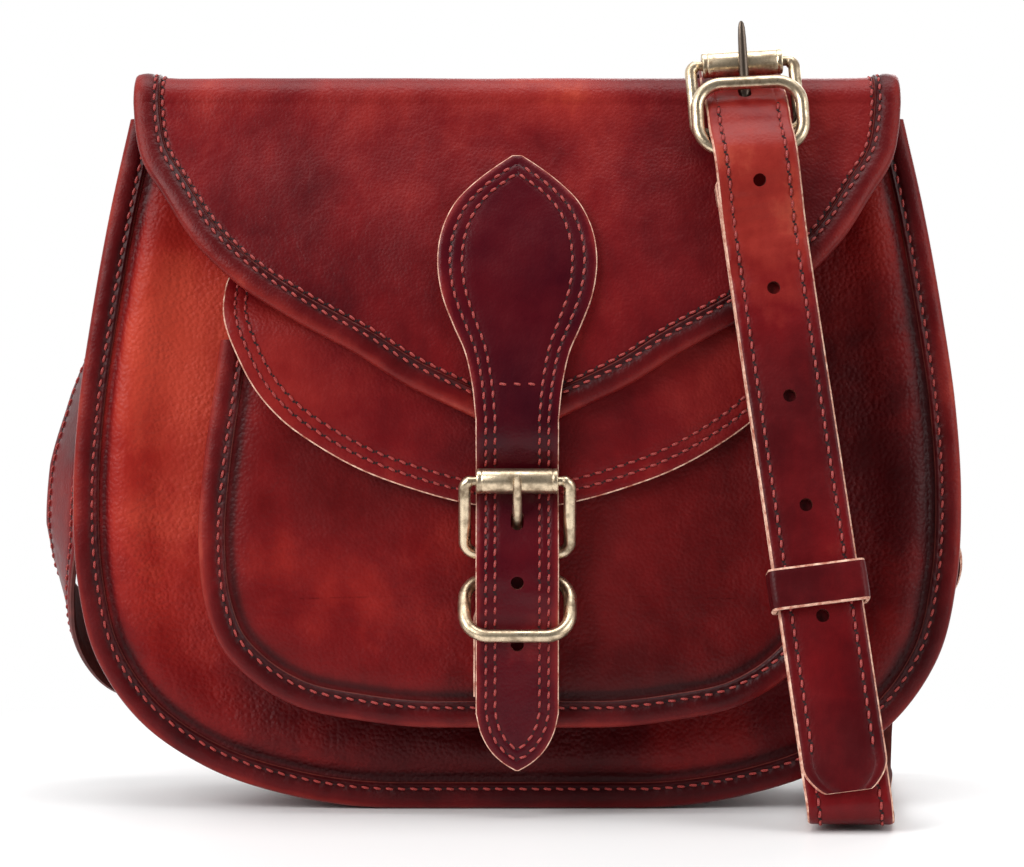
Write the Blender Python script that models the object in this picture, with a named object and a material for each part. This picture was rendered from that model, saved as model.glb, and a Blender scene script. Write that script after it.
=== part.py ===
"""Crossbody satchel: saddle-shaped leather body, main flap, front pocket and buckled shoulder strap.

Metres, +Z up. The front faces -Y and +X is to the right. The origin is the middle of the front rim's
flat underside, which the bag stands on together with the back rim.
"""
import math

import bmesh
import bpy
import numpy as np
from mathutils import Vector

# Leather and thread allowances
PANEL_LEATHER = 0.0016
GUSSET_LEATHER = 0.0014
BINDING_LEATHER = 0.0010
FLAP_LEATHER = 0.0013
LINING_THICKNESS = 0.0010
STRAP_LEATHER = 0.0024
TAB_LEATHER = 0.0012
LAYER_GAP = 0.0003
FREE_GAP = 0.0006
OVERRUN = 0.002

# Body
BODY_WIDTH = 0.280
BODY_HEIGHT = 0.217
BODY_DEPTH = 0.080
BINDING_WIDTH = 0.0075
BINDING_ROUND = 0.0012
GUSSET_RECESS = 0.0085
MOUTH_DROP = 0.003
LINING_BACK_SPACE = 0.0045
# half of the front view's outline, as shares of half the width and of the height
BODY_OUTLINE_SHARES = (
    (0.264, 0.0),
    (0.50, 0.017),
    (0.70, 0.060),
    (0.85, 0.127),
    (0.950, 0.222),
    (0.990, 0.330),
    (1.0, 0.450),
    (0.988, 0.580),
    (0.957, 0.720),
    (0.915, 0.870),
    (0.870, 1.0),
)

# Front pocket
POCKET_WIDTH = 0.1972
POCKET_HEIGHT = 0.120
POCKET_BASE = 0.0271
POCKET_DEPTH = 0.0186
POCKET_LEATHER = 0.0013
POCKET_GUSSET_LEATHER = 0.0012
POCKET_RECESS = 0.0085
POCKET_SEAM = 0.006
POCKET_OUTLINE_SHARES = (
    (0.25, 0.0),
    (0.49, 0.018),
    (0.703, 0.058),
    (0.845, 0.13),
    (0.932, 0.21),
    (0.974, 0.297),
    (1.0, 0.463),
    (0.984, 0.68),
    (0.95, 0.88),
    (0.93, 1.0),
)

# Pocket flap, hung from a seam on the front panel
SEAM_ABOVE_POCKET = 0.0259
TIP_ABOVE_BAR = 0.0130
POCKET_FLAP_WIDTH = 0.1816
POCKET_FLAP_SWELL = 0.0004
# half width against the drop below the seam
POCKET_FLAP_SHARES = (
    (0.93, 0.0),
    (0.985, 0.08),
    (1.0, 0.16),
    (0.997, 0.25),
    (0.957, 0.377),
    (0.888, 0.53),
    (0.80, 0.646),
    (0.676, 0.75),
    (0.533, 0.841),
    (0.36, 0.916),
    (0.19, 0.97),
    (0.03, 1.0),
)

# Main flap
FLAP_WIDTH = 0.240
FLAP_RISE = 0.013
APEX_ABOVE_ROLLER = 0.0137
FLAP_FOLD_RADIUS = 0.009
FLAP_FRONT_REACH = 0.0095
FLAP_BEND_HEIGHT = 0.150
FLAP_BINDING_WIDTH = 0.0075
# half width against the drop from the top fold to the apex
FLAP_EDGE_SHARES = (
    (1.0, 0.08),
    (0.993, 0.15),
    (0.976, 0.23),
    (0.911, 0.345),
    (0.817, 0.49),
    (0.717, 0.589),
    (0.578, 0.686),
    (0.407, 0.786),
    (0.2975, 0.86),
    (0.122, 0.951),
    (0.03, 1.0),
)

# Leaf and closure strap, one piece of leather on a backing
LEAF_SPRING = 0.036
CLOSURE_SETTLE = 0.0040
LEAF_BELOW_TOP = 0.0272
LEAF_WIDTH = 0.0490
LEAF_LENGTH = 0.0835
CLOSURE_LEATHER = 0.0012
CLOSURE_WIDTH = 0.0254
CLOSURE_TIP = 0.0149
CLOSURE_POINT = 0.0175
CLOSURE_HOLE_PITCH = 0.0191
LEAF_SHARES = (
    (0.06, 0.0),
    (0.25, 0.04),
    (0.50, 0.10),
    (0.78, 0.19),
    (0.956, 0.31),
    (1.0, 0.415),
    (0.944, 0.54),
    (0.80, 0.655),
    (0.66, 0.75),
    (0.57, 0.865),
)

# Buckles and rings, antique brass
WIRE = 0.0038
BUCKLE_WIDTH = 0.0360
BAR_TO_ROLLER = 0.0228
BUCKLE_CORNER = 0.0036
ROLLER_LENGTH = 0.0250
ROLLER_RADIUS = 0.0039
ROLLER_WALL = 0.0020
ROLLER_PIN = 0.0030
PRONG_WIDTH = 0.0030
PRONG_DEPTH = 0.0022
CLOSURE_PRONG_REACH = 0.0255
SHOULDER_PRONG_REACH = 0.0320
RING_WIRE = 0.0040
RING_WIDTH = 0.0364
RING_HEIGHT = 0.0250
PUNCH = 0.0040
STRETCHED_HOLE = 0.0066
CHAPE_END = 0.037
CHAPE_SHIFT = 0.0008
LOOP_WIDTH = 0.0200
RING_CORNER = 0.0078
SIDE_RING_CORNER = 0.0044
CLOSURE_BAR_HEIGHT = 0.0815
CLOSURE_BUCKLE_LEAN = math.radians(14.6)
PRONG_CURL = math.radians(265)
LOOP_TUCK = math.radians(28)
SIDE_RING_HANG = 0.0022
# the loose ring round the shoulder buckle: out from the bar and up from it, for its two bars
RING_LOWER = (0.0057, -0.0070)
RING_UPPER = (0.0071, 0.0135)

# Shoulder strap
STRAP_WIDTH = 0.0255
STRAP_FOOT_X = 0.098
STRAP_FOOT_Z = 0.0095
STRAP_SIDE_TILT = math.radians(7.5)
STRAP_LEAN = math.radians(11.5)
BUCKLE_SIDE_TILT = math.radians(4.0)
BUCKLE_LEAN = math.radians(16.0)
BAR_BELOW_TOP = 0.0185
LONG_STRAP_CROSSING_SHARE = 0.45
TAIL_SETTLE = 0.0010
TAIL_TWIST = 0.030
BAR_PLAY = 0.0009
FOLD_OVER = 0.022
FLOOR_CLEARANCE = 0.0020
FOOT_BEND = 0.0060
TAIL_TIP = 0.012
TAIL_POINT = 0.009
TAIL_HOLE_PITCH = 0.0338
TAIL_HOLES = 5
KEEPER_HEIGHT = 0.0624
KEEPER_TALL = 0.0124
KEEPER_LEATHER = 0.0013
KEEPER_SLACK = 0.0030

# The straps' runs round the bag: a point as shares of half the width, the depth and the height,
# then the way the strap's outer side faces there
LONG_STRAP_RUN_SHARES = (
    ((-1.020, 0.50, 0.59), (-1, -0.40, 0)),
    ((-1.054, 0.51, 0.49), (-1, -0.60, 0)),
    ((-1.066, 0.54, 0.39), (-1, -0.60, 0)),
    ((-1.068, 0.65, 0.31), (-1, -0.25, -0.15)),
    ((-1.034, 0.85, 0.240), (-0.8, 0.45, -0.4)),
    ((-0.938, 1.07, 0.185), (-0.5, 0.8, -0.3)),
    ((-0.775, 1.15, 0.195), (-0.1, 1, 0)),
    ((-0.55, 1.145, 0.305), (0, 1, 0)),
    ((-0.22, 1.11, 0.51), (0, 1, 0)),
    ((0.08, 1.085, 0.70), (0, 1, 0)),
    ((0.29, 1.070, 0.82), (0, 1, 0)),
    ((0.405, 1.062, 0.895), (0, 1, 0)),
)
SHORT_STRAP_RUN_SHARES = (
    ((0.968, 0.53, 0.62), (1, 0, 0)),
    ((0.992, 0.66, 0.53), (1, 0.05, 0)),
    ((1.023, 0.84, 0.46), (1, 0.18, 0)),
    ((1.036, 1.025, 0.400), (0.9, 0.45, 0)),
    ((1.010, 1.145, 0.335), (0.5, 0.85, 0)),
    ((0.930, 1.200, 0.265), (0.15, 1, 0)),
    ((0.868, 1.225, 0.18), (0, 1, 0)),
    ((0.842, 1.235, 0.105), (0, 1, -0.1)),
    ((0.832, 1.185, 0.038), (0, 0.7, -0.7)),
    ((0.824, 1.080, 0.0165), (0, 0.1, -1)),
    ((0.820, 0.990, 0.0150), (0, 0, -1)),
    ((0.785, 0.50, 0.0150), (0, 0, -1)),
    ((0.748, 0.0, 0.0150), (0, 0, -1)),
)

# Side rings on the gusset
RING_BELOW_RIM = 0.0190
TAB_WIDTH = 0.022
TAB_LENGTH = 0.016

# Inner zip pocket on the back wall of the lining
ZIP_LENGTH = 0.150
ZIP_TAPE = 0.024
ZIP_BELOW_MOUTH = 0.046
ZIP_THICKNESS = 0.0012
INNER_POCKET_DROP = 0.100
SLIDER_SIZE = (0.009, 0.0030, 0.0075)
PULL_LENGTH = 0.020
PULL_WIDTH = 0.0045
PULL_THICKNESS = 0.0010

# Worked out from the sizes above
BODY_STACK = PANEL_LEATHER + LAYER_GAP + GUSSET_LEATHER
POCKET_STACK = POCKET_LEATHER + LAYER_GAP + POCKET_GUSSET_LEATHER
BINDING_REACH = LAYER_GAP + BINDING_LEATHER
MOUTH = BODY_HEIGHT - MOUTH_DROP
SIDE_RING_HEIGHT = BODY_HEIGHT - RING_BELOW_RIM
ZIP_HEIGHT = MOUTH - ZIP_BELOW_MOUTH
PANEL_FACE = -BODY_STACK / 2
POCKET_MIDDLE = -POCKET_DEPTH
POCKET_FACE = POCKET_MIDDLE - POCKET_STACK / 2
POCKET_RIM_FACE = POCKET_FACE - BINDING_REACH
FLAP_STACK = FLAP_LEATHER + LAYER_GAP + LINING_THICKNESS
POCKET_FLAP_SEAM = POCKET_BASE + POCKET_HEIGHT + SEAM_ABOVE_POCKET
POCKET_FLAP_TIP = CLOSURE_BAR_HEIGHT + TIP_ABOVE_BAR
FLAP_TOP = BODY_HEIGHT + FLAP_RISE
SHOULDER_BAR_HEIGHT = FLAP_TOP - BAR_BELOW_TOP
LEAF_TOP = FLAP_TOP - LEAF_BELOW_TOP
FLAP_APEX = CLOSURE_BAR_HEIGHT + BAR_TO_ROLLER + APEX_ABOVE_ROLLER
FLAP_HINGE = (0.0, BODY_DEPTH + BODY_STACK / 2 + BINDING_REACH + LAYER_GAP, MOUTH + LAYER_GAP)


def clear_scene():
    for old in list(bpy.data.objects):
        bpy.data.objects.remove(old, do_unlink=True)


def leather(name, colour, roughness=0.5):
    material = bpy.data.materials.new(name)
    material.use_nodes = True
    shader = material.node_tree.nodes["Principled BSDF"]
    shader.inputs["Base Color"].default_value = (*colour, 1)
    shader.inputs["Roughness"].default_value = roughness
    return material


def metal(name, colour, roughness):
    material = leather(name, colour, roughness)
    material.node_tree.nodes["Principled BSDF"].inputs["Metallic"].default_value = 1
    return material


def pivot(name, place):
    """An empty that stands on a joint's axis."""
    empty = bpy.data.objects.new(name, None)
    empty.location = place
    bpy.context.collection.objects.link(empty)
    return empty


def finish(name, bm, material, parent=None, smooth=False):
    """Turns a mesh in world places into a named piece whose origin is its parent's."""
    bmesh.ops.recalc_face_normals(bm, faces=bm.faces)
    if bm.calc_volume(signed=True) < 0:
        bmesh.ops.reverse_faces(bm, faces=bm.faces)
    origin = parent.location.copy() if parent else Vector()
    bmesh.ops.translate(bm, verts=bm.verts, vec=-origin)
    mesh = bpy.data.meshes.new(name)
    bm.to_mesh(mesh)
    bm.free()
    if smooth:
        mesh.shade_smooth()
        mesh.set_sharp_from_angle(angle=math.radians(40))
    mesh.materials.append(material)
    piece = bpy.data.objects.new(name, mesh)
    bpy.context.collection.objects.link(piece)
    if parent:
        piece.parent = parent
    return piece


def loft(name, rings, material, parent=None, closed=False, smooth=False):
    """A closed skin over rings of as many points each, capped where the rings don't close."""
    bm = bmesh.new()
    rows = [[bm.verts.new(p) for p in ring] for ring in rings]
    pairs = list(zip(rows, rows[1:]))
    if closed:
        pairs.append((rows[-1], rows[0]))
    for one, two in pairs:
        for i in range(len(one)):
            j = (i + 1) % len(one)
            bm.faces.new((one[i], one[j], two[j], two[i]))
    if not closed:
        bm.faces.new(rows[0])
        bm.faces.new(rows[-1])
    return finish(name, bm, material, parent, smooth)


def curve_through(points, spans, start=None, end=None):
    """Evenly spaced points on a smooth curve through the given ones."""
    p = np.array(points, float)
    gaps = np.linalg.norm(np.diff(p, axis=0), axis=1)
    slopes = np.diff(p, axis=0) / gaps[:, None]
    tangents = np.empty_like(p)
    before, after = gaps[:-1, None], gaps[1:, None]
    tangents[1:-1] = (slopes[:-1] * after + slopes[1:] * before) / (before + after)
    tangents[0] = slopes[0] if start is None else start
    tangents[-1] = slopes[-1] if end is None else end
    fine = []
    for i, gap in enumerate(gaps):
        for t in np.linspace(0, 1, 24, endpoint=False):
            a = 2 * t**3 - 3 * t**2 + 1
            b = t**3 - 2 * t**2 + t
            c = 3 * t**2 - 2 * t**3
            d = t**3 - t**2
            fine.append(a * p[i] + b * gap * tangents[i] + c * p[i + 1] + d * gap * tangents[i + 1])
    fine.append(p[-1])
    return spaced(fine, spans)


def spaced(points, spans):
    """The same line with evenly spaced points."""
    p = np.array(points, float)
    along = lengths(p)
    at = np.linspace(0, along[-1], spans + 1)
    return np.column_stack([np.interp(at, along, p[:, k]) for k in range(p.shape[1])])


def lengths(points):
    """How far along its line each point lies."""
    steps = np.linalg.norm(np.diff(points, axis=0), axis=1)
    return np.concatenate([[0], np.cumsum(steps)])


def thinned(points, turn=7.0, longest=0.030):
    """The indices of the points that a bent line needs: few where it runs straight."""
    p = np.array(points, float)
    t = directions(p)
    along = lengths(p)
    kept = [0]
    for i in range(1, len(p) - 1):
        bend = math.degrees(math.acos(min(1.0, float(t[i] @ t[kept[-1]]))))
        if bend > turn or along[i] - along[kept[-1]] > longest:
            kept.append(i)
    return kept + [len(p) - 1]


def directions(points):
    """Unit tangents of a line at its points."""
    t = np.gradient(np.array(points, float), axis=0)
    return t / np.linalg.norm(t, axis=1)[:, None]


def rim_path(shares, half_width, base, height, spans):
    """The open outline from the top left corner round the bottom to the top right corner."""
    half = [(x * half_width, base + z * height) for x, z in shares]
    right = curve_through(half, spans, start=(1.0, 0.0))
    left = right[::-1] * (-1, 1)
    return np.vstack([left, right])


def inset(path, distance):
    """An outline moved inwards by a distance, its ends level with the old ones."""
    t = directions(path)
    inward = np.column_stack([-t[:, 1], t[:, 0]])
    inward[0] = (1, 0)
    inward[-1] = (-1, 0)
    return path + inward * distance


def plate(name, outline, y_from, y_to, material, parent=None):
    """A flat sheet with the given front view, between two depths."""
    rings = [[(x, y, z) for x, z in outline] for y in (y_from, y_to)]
    return loft(name, rings, material, parent)


def sweep_rim(name, path, section, material):
    """A section of (inset, depth) points carried along an outline."""
    lines = {n: inset(path, n) for n, _ in section}
    rings = [[(lines[n][i][0], y, lines[n][i][1]) for n, y in section] for i in range(len(path))]
    return loft(name, rings, material)


def binding_section(middle, stack, width):
    """A folded strip over a rim of the given stack of leather."""
    inner = stack / 2 + LAYER_GAP
    outer = inner + BINDING_LEATHER
    corner = BINDING_ROUND
    half = [(width, outer), (corner, outer), (0.0, outer - corner)]
    hollow = [(width, inner), (BINDING_LEATHER, inner)]
    front = [(n, middle - y) for n, y in half]
    back = [(n, middle + y) for n, y in reversed(half)]
    return front + back + [(n, middle + y) for n, y in hollow] + [(n, middle - y) for n, y in hollow[::-1]]


class Place:
    """A local frame: across, outward and along, at an origin."""

    def __init__(self, origin, across, along):
        self.origin = Vector(origin)
        self.along = Vector(along).normalized()
        self.across = (Vector(across) - Vector(across).dot(self.along) * self.along).normalized()
        self.outward = self.across.cross(self.along)

    def __call__(self, u, w, v):
        return self.origin + float(u) * self.across + float(w) * self.outward + float(v) * self.along


def wire_loop(name, place, path, radius, material, parent=None, sides=8):
    """A closed wire whose middle follows (across, along, radius share) points in a frame."""
    count = len(path)
    rings = []
    for i, (u, v, share) in enumerate(path):
        before, after = path[i - 1], path[(i + 1) % count]
        run = Vector((after[0] - before[0], after[1] - before[1])).normalized()
        ring = []
        for k in range(sides):
            angle = 2 * math.pi * (k + 0.5) / sides
            out = radius * share * math.cos(angle)
            ring.append(place(u + run.y * out, radius * share * math.sin(angle), v - run.x * out))
        rings.append(ring)
    return loft(name, rings, material, parent, closed=True, smooth=True)


def corner_arc(u, v, radius, start, steps):
    """Points of a quarter turn, counter-clockwise from the start angle."""
    points = []
    for k in range(steps + 1):
        angle = start + math.pi / 2 * k / steps
        points.append((u + radius * math.cos(angle), v + radius * math.sin(angle), 1.0))
    return points


def rounded_loop(width, low, high, radius, steps):
    """A rounded rectangle's points in (across, along), counter-clockwise from the lower right."""
    half = width / 2 - radius
    path = corner_arc(half, low + radius, radius, -math.pi / 2, steps)
    path += corner_arc(half, high - radius, radius, 0.0, steps)
    path += corner_arc(-half, high - radius, radius, math.pi / 2, steps)
    path += corner_arc(-half, low + radius, radius, math.pi, steps)
    return path


def buckle_frame(name, place, material, parent):
    """A rectangular wire frame, thinner where it carries the roller."""
    width = BUCKLE_WIDTH - WIRE
    half = width / 2 - BUCKLE_CORNER
    low = corner_arc(half, BUCKLE_CORNER, BUCKLE_CORNER, -math.pi / 2, 3)
    top_corner = width / 2 - (ROLLER_LENGTH / 2 + 2 * LAYER_GAP)
    step = 0.8 * top_corner
    side = [(width / 2, BAR_TO_ROLLER - step, 1.0)]
    pin = ROLLER_PIN / WIRE
    neck = [(width / 2 - step, BAR_TO_ROLLER, 1.0), (ROLLER_LENGTH / 2 + LAYER_GAP, BAR_TO_ROLLER, pin)]
    cut_in = step * (1 - math.sin(math.pi / 4))
    corner = [(width / 2 - cut_in, BAR_TO_ROLLER - cut_in, 1.0)]
    right = low + side + corner + neck
    left = [(-u, v, share) for u, v, share in reversed(right)]
    return wire_loop(name, place, right + left, WIRE / 2, material, parent)


def turned_tube(name, place, v, outer, inner, length, material, parent, sides=16):
    """A tube across a frame, round the line at the given height."""
    ends = (-length / 2, length / 2)
    rings = []
    for k in range(sides):
        a = 2 * math.pi * k / sides
        ring = [
            place(u, r * math.cos(a), v + r * math.sin(a))
            for u, r in ((ends[0], outer), (ends[1], outer), (ends[1], inner), (ends[0], inner))
        ]
        rings.append(ring)
    return loft(name, rings, material, parent, closed=True, smooth=True)


def prong_arm():
    """The radius of the prong's curl, the lean of its arm and where the arm leaves the curl."""
    curl = WIRE / 2 + LAYER_GAP + PRONG_DEPTH / 2
    over = ROLLER_RADIUS + LAYER_GAP + PRONG_DEPTH / 2
    span = math.hypot(over, BAR_TO_ROLLER)
    lean = math.atan2(over, BAR_TO_ROLLER) + math.asin(curl / span)
    return curl, lean, Vector((-curl * math.cos(lean), curl * math.sin(lean)))


def prong_crossing(place, middles):
    """Where a strap's middle line meets the prong's arm, and at which of its points."""
    _, lean, base = prong_arm()
    best = None
    for i, p in enumerate(middles):
        away = Vector(p) - place.origin
        w, v = away.dot(place.outward), away.dot(place.along)
        off = abs((w - base.x) * math.cos(lean) - (v - base.y) * math.sin(lean))
        if 0 < v < BAR_TO_ROLLER and (best is None or off < best[0]):
            best = off, i, place(0, w, v)
    return best[1], best[2]


def buckle_prong(name, place, reach, material, parent, sides=8):
    """A tapered wire curled round the bar at the frame's origin, leaning over the roller."""
    curl, lean, _ = prong_arm()
    leave = math.pi - lean
    path = []
    for k in range(12):
        angle = leave + PRONG_CURL * (1 - k / 11)
        path.append((curl * math.cos(angle), curl * math.sin(angle)))
    base = Vector(path[-1])
    arm = Vector((math.sin(lean), math.cos(lean)))
    length = reach / math.cos(lean)
    path += [tuple(base + arm * length * t) for t in (0.35, 0.7, 0.94, 1.0)]
    shares = [1.0] * (len(path) - 3) + [0.95, 0.8, 0.45]
    tangents = directions(path)
    rings = []
    for (w, v), share, t in zip(path, shares, tangents):
        ring = []
        for k in range(sides):
            a = 2 * math.pi * (k + 0.5) / sides
            deep = PRONG_DEPTH / 2 * share * math.cos(a)
            ring.append(place(PRONG_WIDTH / 2 * share * math.sin(a), w + t[1] * deep, v - t[0] * deep))
        rings.append(ring)
    return loft(name, rings, material, parent, smooth=True)


def ribbon(name, middles, across, thickness, widths, material, parent=None):
    """A strip along a line, its width across it, its thickness square to both."""
    tangents = directions(middles)
    rings = []
    for i in thinned(middles, 6.0, 0.020):
        p, a, t, w = middles[i], across[i], tangents[i], widths[i]
        side = Vector(a) - Vector(a).dot(Vector(t)) * Vector(t)
        side.normalize()
        out = side.cross(Vector(t)) * thickness / 2
        side *= w / 2
        p = Vector(p)
        rings.append([p - side - out, p + side - out, p + side + out, p - side + out])
    return loft(name, rings, material, parent)


def cut(piece, cutters):
    """Takes cutters out of a piece and keeps them only as hidden guides."""
    for cutter in cutters:
        modifier = piece.modifiers.new("cut", "BOOLEAN")
        modifier.operation = "DIFFERENCE"
        modifier.solver = "EXACT"
        modifier.object = cutter
        cutter.hide_render = True
        cutter.display_type = "WIRE"


def punch(name, place, length, material, sides=10):
    """An oval punch through a strap at a frame's origin, its length along the strap."""
    rings = []
    for depth in (-2 * STRAP_LEATHER, 2 * STRAP_LEATHER):
        ring = []
        for k in range(sides):
            a = 2 * math.pi * k / sides
            stretch = (length - PUNCH) / 2 * (1 if math.sin(a) > 0 else -1)
            ring.append(place(PUNCH / 2 * math.cos(a), depth, PUNCH / 2 * math.sin(a) + stretch))
        rings.append(ring)
    return loft(name, rings, material)


def box(name, place, low, high, material, parent=None):
    """A block between two corners in a frame."""
    corners = ((low[0], low[1]), (high[0], low[1]), (high[0], high[1]), (low[0], high[1]))
    rings = [[place(u, w, v) for u, w in corners] for v in (low[2], high[2])]
    return loft(name, rings, material, parent)


class Profile:
    """A side view line (depth, height) that sheets with their width along X follow."""

    def __init__(self, points, spans):
        self.points = spaced(points, spans)
        self.along = lengths(self.points)
        self.length = self.along[-1]

    def at(self, s, offset):
        """The point at a length along the line, moved off it; the outer side is the negative one."""
        t = directions(self.points)
        y, z = (np.interp(s, self.along, self.points[:, k]) for k in (0, 1))
        ty, tz = (np.interp(s, self.along, t[:, k]) for k in (0, 1))
        size = math.hypot(ty, tz)
        return y - tz / size * offset, z + ty / size * offset

    def reach(self, height):
        """The length at which the line last passes a height."""
        z = self.points[:, 1]
        below = np.flatnonzero((z[:-1] - height) * (z[1:] - height) <= 0)[-1]
        part = (height - z[below]) / (z[below + 1] - z[below])
        return self.along[below] + part * (self.along[below + 1] - self.along[below])


def arc_points(centre, radius, start, end, steps):
    angles = np.linspace(math.radians(start), math.radians(end), steps + 1)
    return [(centre[0] + radius * math.cos(a), centre[1] + radius * math.sin(a)) for a in angles]


def sheet(name, profile, rows, low, high, material, parent=None):
    """A sheet along a profile between two offsets; rows are (length, half width)."""
    rings = []
    for s, half in rows:
        inner, outer = profile.at(s, low), profile.at(s, high)
        rings.append([(-half, *inner), (half, *inner), (half, *outer), (-half, *outer)])
    return loft(name, rings, material, parent)


def widths_along(edge, stations):
    """Half widths at lengths, from an edge of (length, half width) points."""
    edge = np.array(edge)
    return [(s, float(np.interp(s, edge[:, 0], edge[:, 1]))) for s in stations]


def build_body(red, dark, cloth):
    path = rim_path(BODY_OUTLINE_SHARES, BODY_WIDTH / 2, 0.0, BODY_HEIGHT, 20)
    mouth_path = path.copy()
    mouth_path[0, 1] = MOUTH
    mouth_path[-1, 1] = MOUTH
    edge = BINDING_REACH
    web = GUSSET_RECESS
    inside = web + GUSSET_LEATHER
    back = BODY_DEPTH
    half = BODY_STACK / 2
    plate("front_panel", inset(mouth_path, edge), -half, PANEL_LEATHER - half, red)
    plate("back_panel", inset(mouth_path, edge), back + half - PANEL_LEATHER, back + half, red)
    near = half - GUSSET_LEATHER
    section = [
        (edge, near), (edge, half), (web, half), (web, back - half),
        (edge, back - half), (edge, back - near), (inside, back - near), (inside, near),
    ]
    sweep_rim("gusset", mouth_path, section, red)
    sweep_rim("front_binding", path, binding_section(0.0, BODY_STACK, BINDING_WIDTH), dark)
    sweep_rim("back_binding", mouth_path, binding_section(back, BODY_STACK, BINDING_WIDTH), dark)

    skin = inside + LAYER_GAP
    front = near + LAYER_GAP
    rear = back - half - LINING_BACK_SPACE
    lining = plate("lining", inset(mouth_path, skin), front, rear, cloth)
    hollow = inset(mouth_path, skin + LINING_THICKNESS)
    hollow[0, 1] += OVERRUN
    hollow[-1, 1] += OVERRUN
    core = plate("lining_core", hollow, front + LINING_THICKNESS, rear - LINING_THICKNESS, cloth)
    cut(lining, [core])
    return path, rear


def build_inner_pocket(wall, cloth, brass, zip_black):
    """A zip on the lining's back wall, its pocket bag between the wall and the back panel."""
    face = wall - LINING_THICKNESS - LAYER_GAP
    upright = Place((0, face, ZIP_HEIGHT), (1, 0, 0), (0, 0, 1))
    half = ZIP_LENGTH / 2
    box("inner_zip", upright, (-half, 0, -ZIP_TAPE / 2), (half, ZIP_THICKNESS, ZIP_TAPE / 2), zip_black)
    behind = Place((0, wall + LAYER_GAP, ZIP_HEIGHT), (1, 0, 0), (0, 0, 1))
    bag = 2 * LINING_THICKNESS
    drop = ZIP_TAPE - INNER_POCKET_DROP
    box("inner_pocket", behind, (-half, -bag, drop), (half, 0, ZIP_TAPE / 2), cloth)
    start = half - SLIDER_SIZE[0]
    hook = pivot("zip_slide_axis", upright(start, ZIP_THICKNESS, 0))
    deep = ZIP_THICKNESS + LAYER_GAP
    top = deep + SLIDER_SIZE[1]
    low = (start - SLIDER_SIZE[0] / 2, deep, -SLIDER_SIZE[2] / 2)
    high = (start + SLIDER_SIZE[0] / 2, top, SLIDER_SIZE[2] / 2)
    body = box("zip_slider", upright, low, high, brass, hook)
    low = (start - PULL_WIDTH / 2, top - PULL_THICKNESS, -PULL_LENGTH)
    high = (start + PULL_WIDTH / 2, top + PULL_THICKNESS, 0)
    join(body, box("zip_pull_shape", upright, low, high, brass))


def join(piece, shape):
    """Unites a helper shape with a piece."""
    modifier = piece.modifiers.new("join", "BOOLEAN")
    modifier.operation = "UNION"
    modifier.solver = "EXACT"
    modifier.object = shape
    shape.hide_render = True
    shape.display_type = "WIRE"


def build_pocket(red, dark):
    path = rim_path(POCKET_OUTLINE_SHARES, POCKET_WIDTH / 2, POCKET_BASE, POCKET_HEIGHT, 16)
    edge = BINDING_REACH
    web = POCKET_RECESS
    inside = web + POCKET_GUSSET_LEATHER
    half = POCKET_STACK / 2
    middle = POCKET_MIDDLE
    plate("pocket_front", inset(path, edge), middle - half, middle - half + POCKET_LEATHER, red)
    near = middle + half - POCKET_GUSSET_LEATHER
    foot = PANEL_FACE - LAYER_GAP
    section = [
        (edge, near), (edge, middle + half), (web, middle + half), (web, foot),
        (inside + POCKET_SEAM, foot), (inside + POCKET_SEAM, foot - POCKET_GUSSET_LEATHER),
        (inside, foot - POCKET_GUSSET_LEATHER), (inside, near),
    ]
    sweep_rim("pocket_gusset", path, section, red)
    sweep_rim("pocket_binding", path, binding_section(middle, POCKET_STACK, BINDING_WIDTH), dark)


def pocket_flap_profile():
    """From its seam on the front panel out over the pocket's rim and down its front."""
    stack = FLAP_STACK / 2
    seam = PANEL_FACE - LAYER_GAP - stack
    clear = POCKET_RIM_FACE - LAYER_GAP - stack
    top = POCKET_BASE + POCKET_HEIGHT
    rise = POCKET_FLAP_SEAM - top
    points = [
        (seam, POCKET_FLAP_SEAM),
        (seam + 0.27 * (clear - seam), POCKET_FLAP_SEAM - 0.17 * rise),
        (seam + 0.74 * (clear - seam), POCKET_FLAP_SEAM - 0.52 * rise),
        (clear - POCKET_FLAP_SWELL, top + 0.12 * rise),
        (clear - POCKET_FLAP_SWELL, top - 0.27 * rise),
        (clear, POCKET_FLAP_TIP),
    ]
    return Profile(curve_through(points, 60), 60)


def build_pocket_flap(red, hide):
    profile = pocket_flap_profile()
    hinge = pivot("pocket_flap_hinge", (0, *profile.at(0, 0)))
    half = POCKET_FLAP_WIDTH / 2
    drop = POCKET_FLAP_SEAM - POCKET_FLAP_TIP
    edge = [(0.0, POCKET_FLAP_SHARES[0][0] * half)]
    for x, z in POCKET_FLAP_SHARES[1:]:
        edge.append((profile.reach(POCKET_FLAP_SEAM - z * drop) if z < 1 else profile.length, x * half))
    smooth = curve_through(edge, 24)
    stack = FLAP_STACK / 2
    sheet("pocket_flap_panel", profile, smooth, -stack, -stack + FLAP_LEATHER, red, hinge)
    sheet("pocket_flap_lining", profile, smooth, stack - LINING_THICKNESS, stack, hide, hinge)


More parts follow.
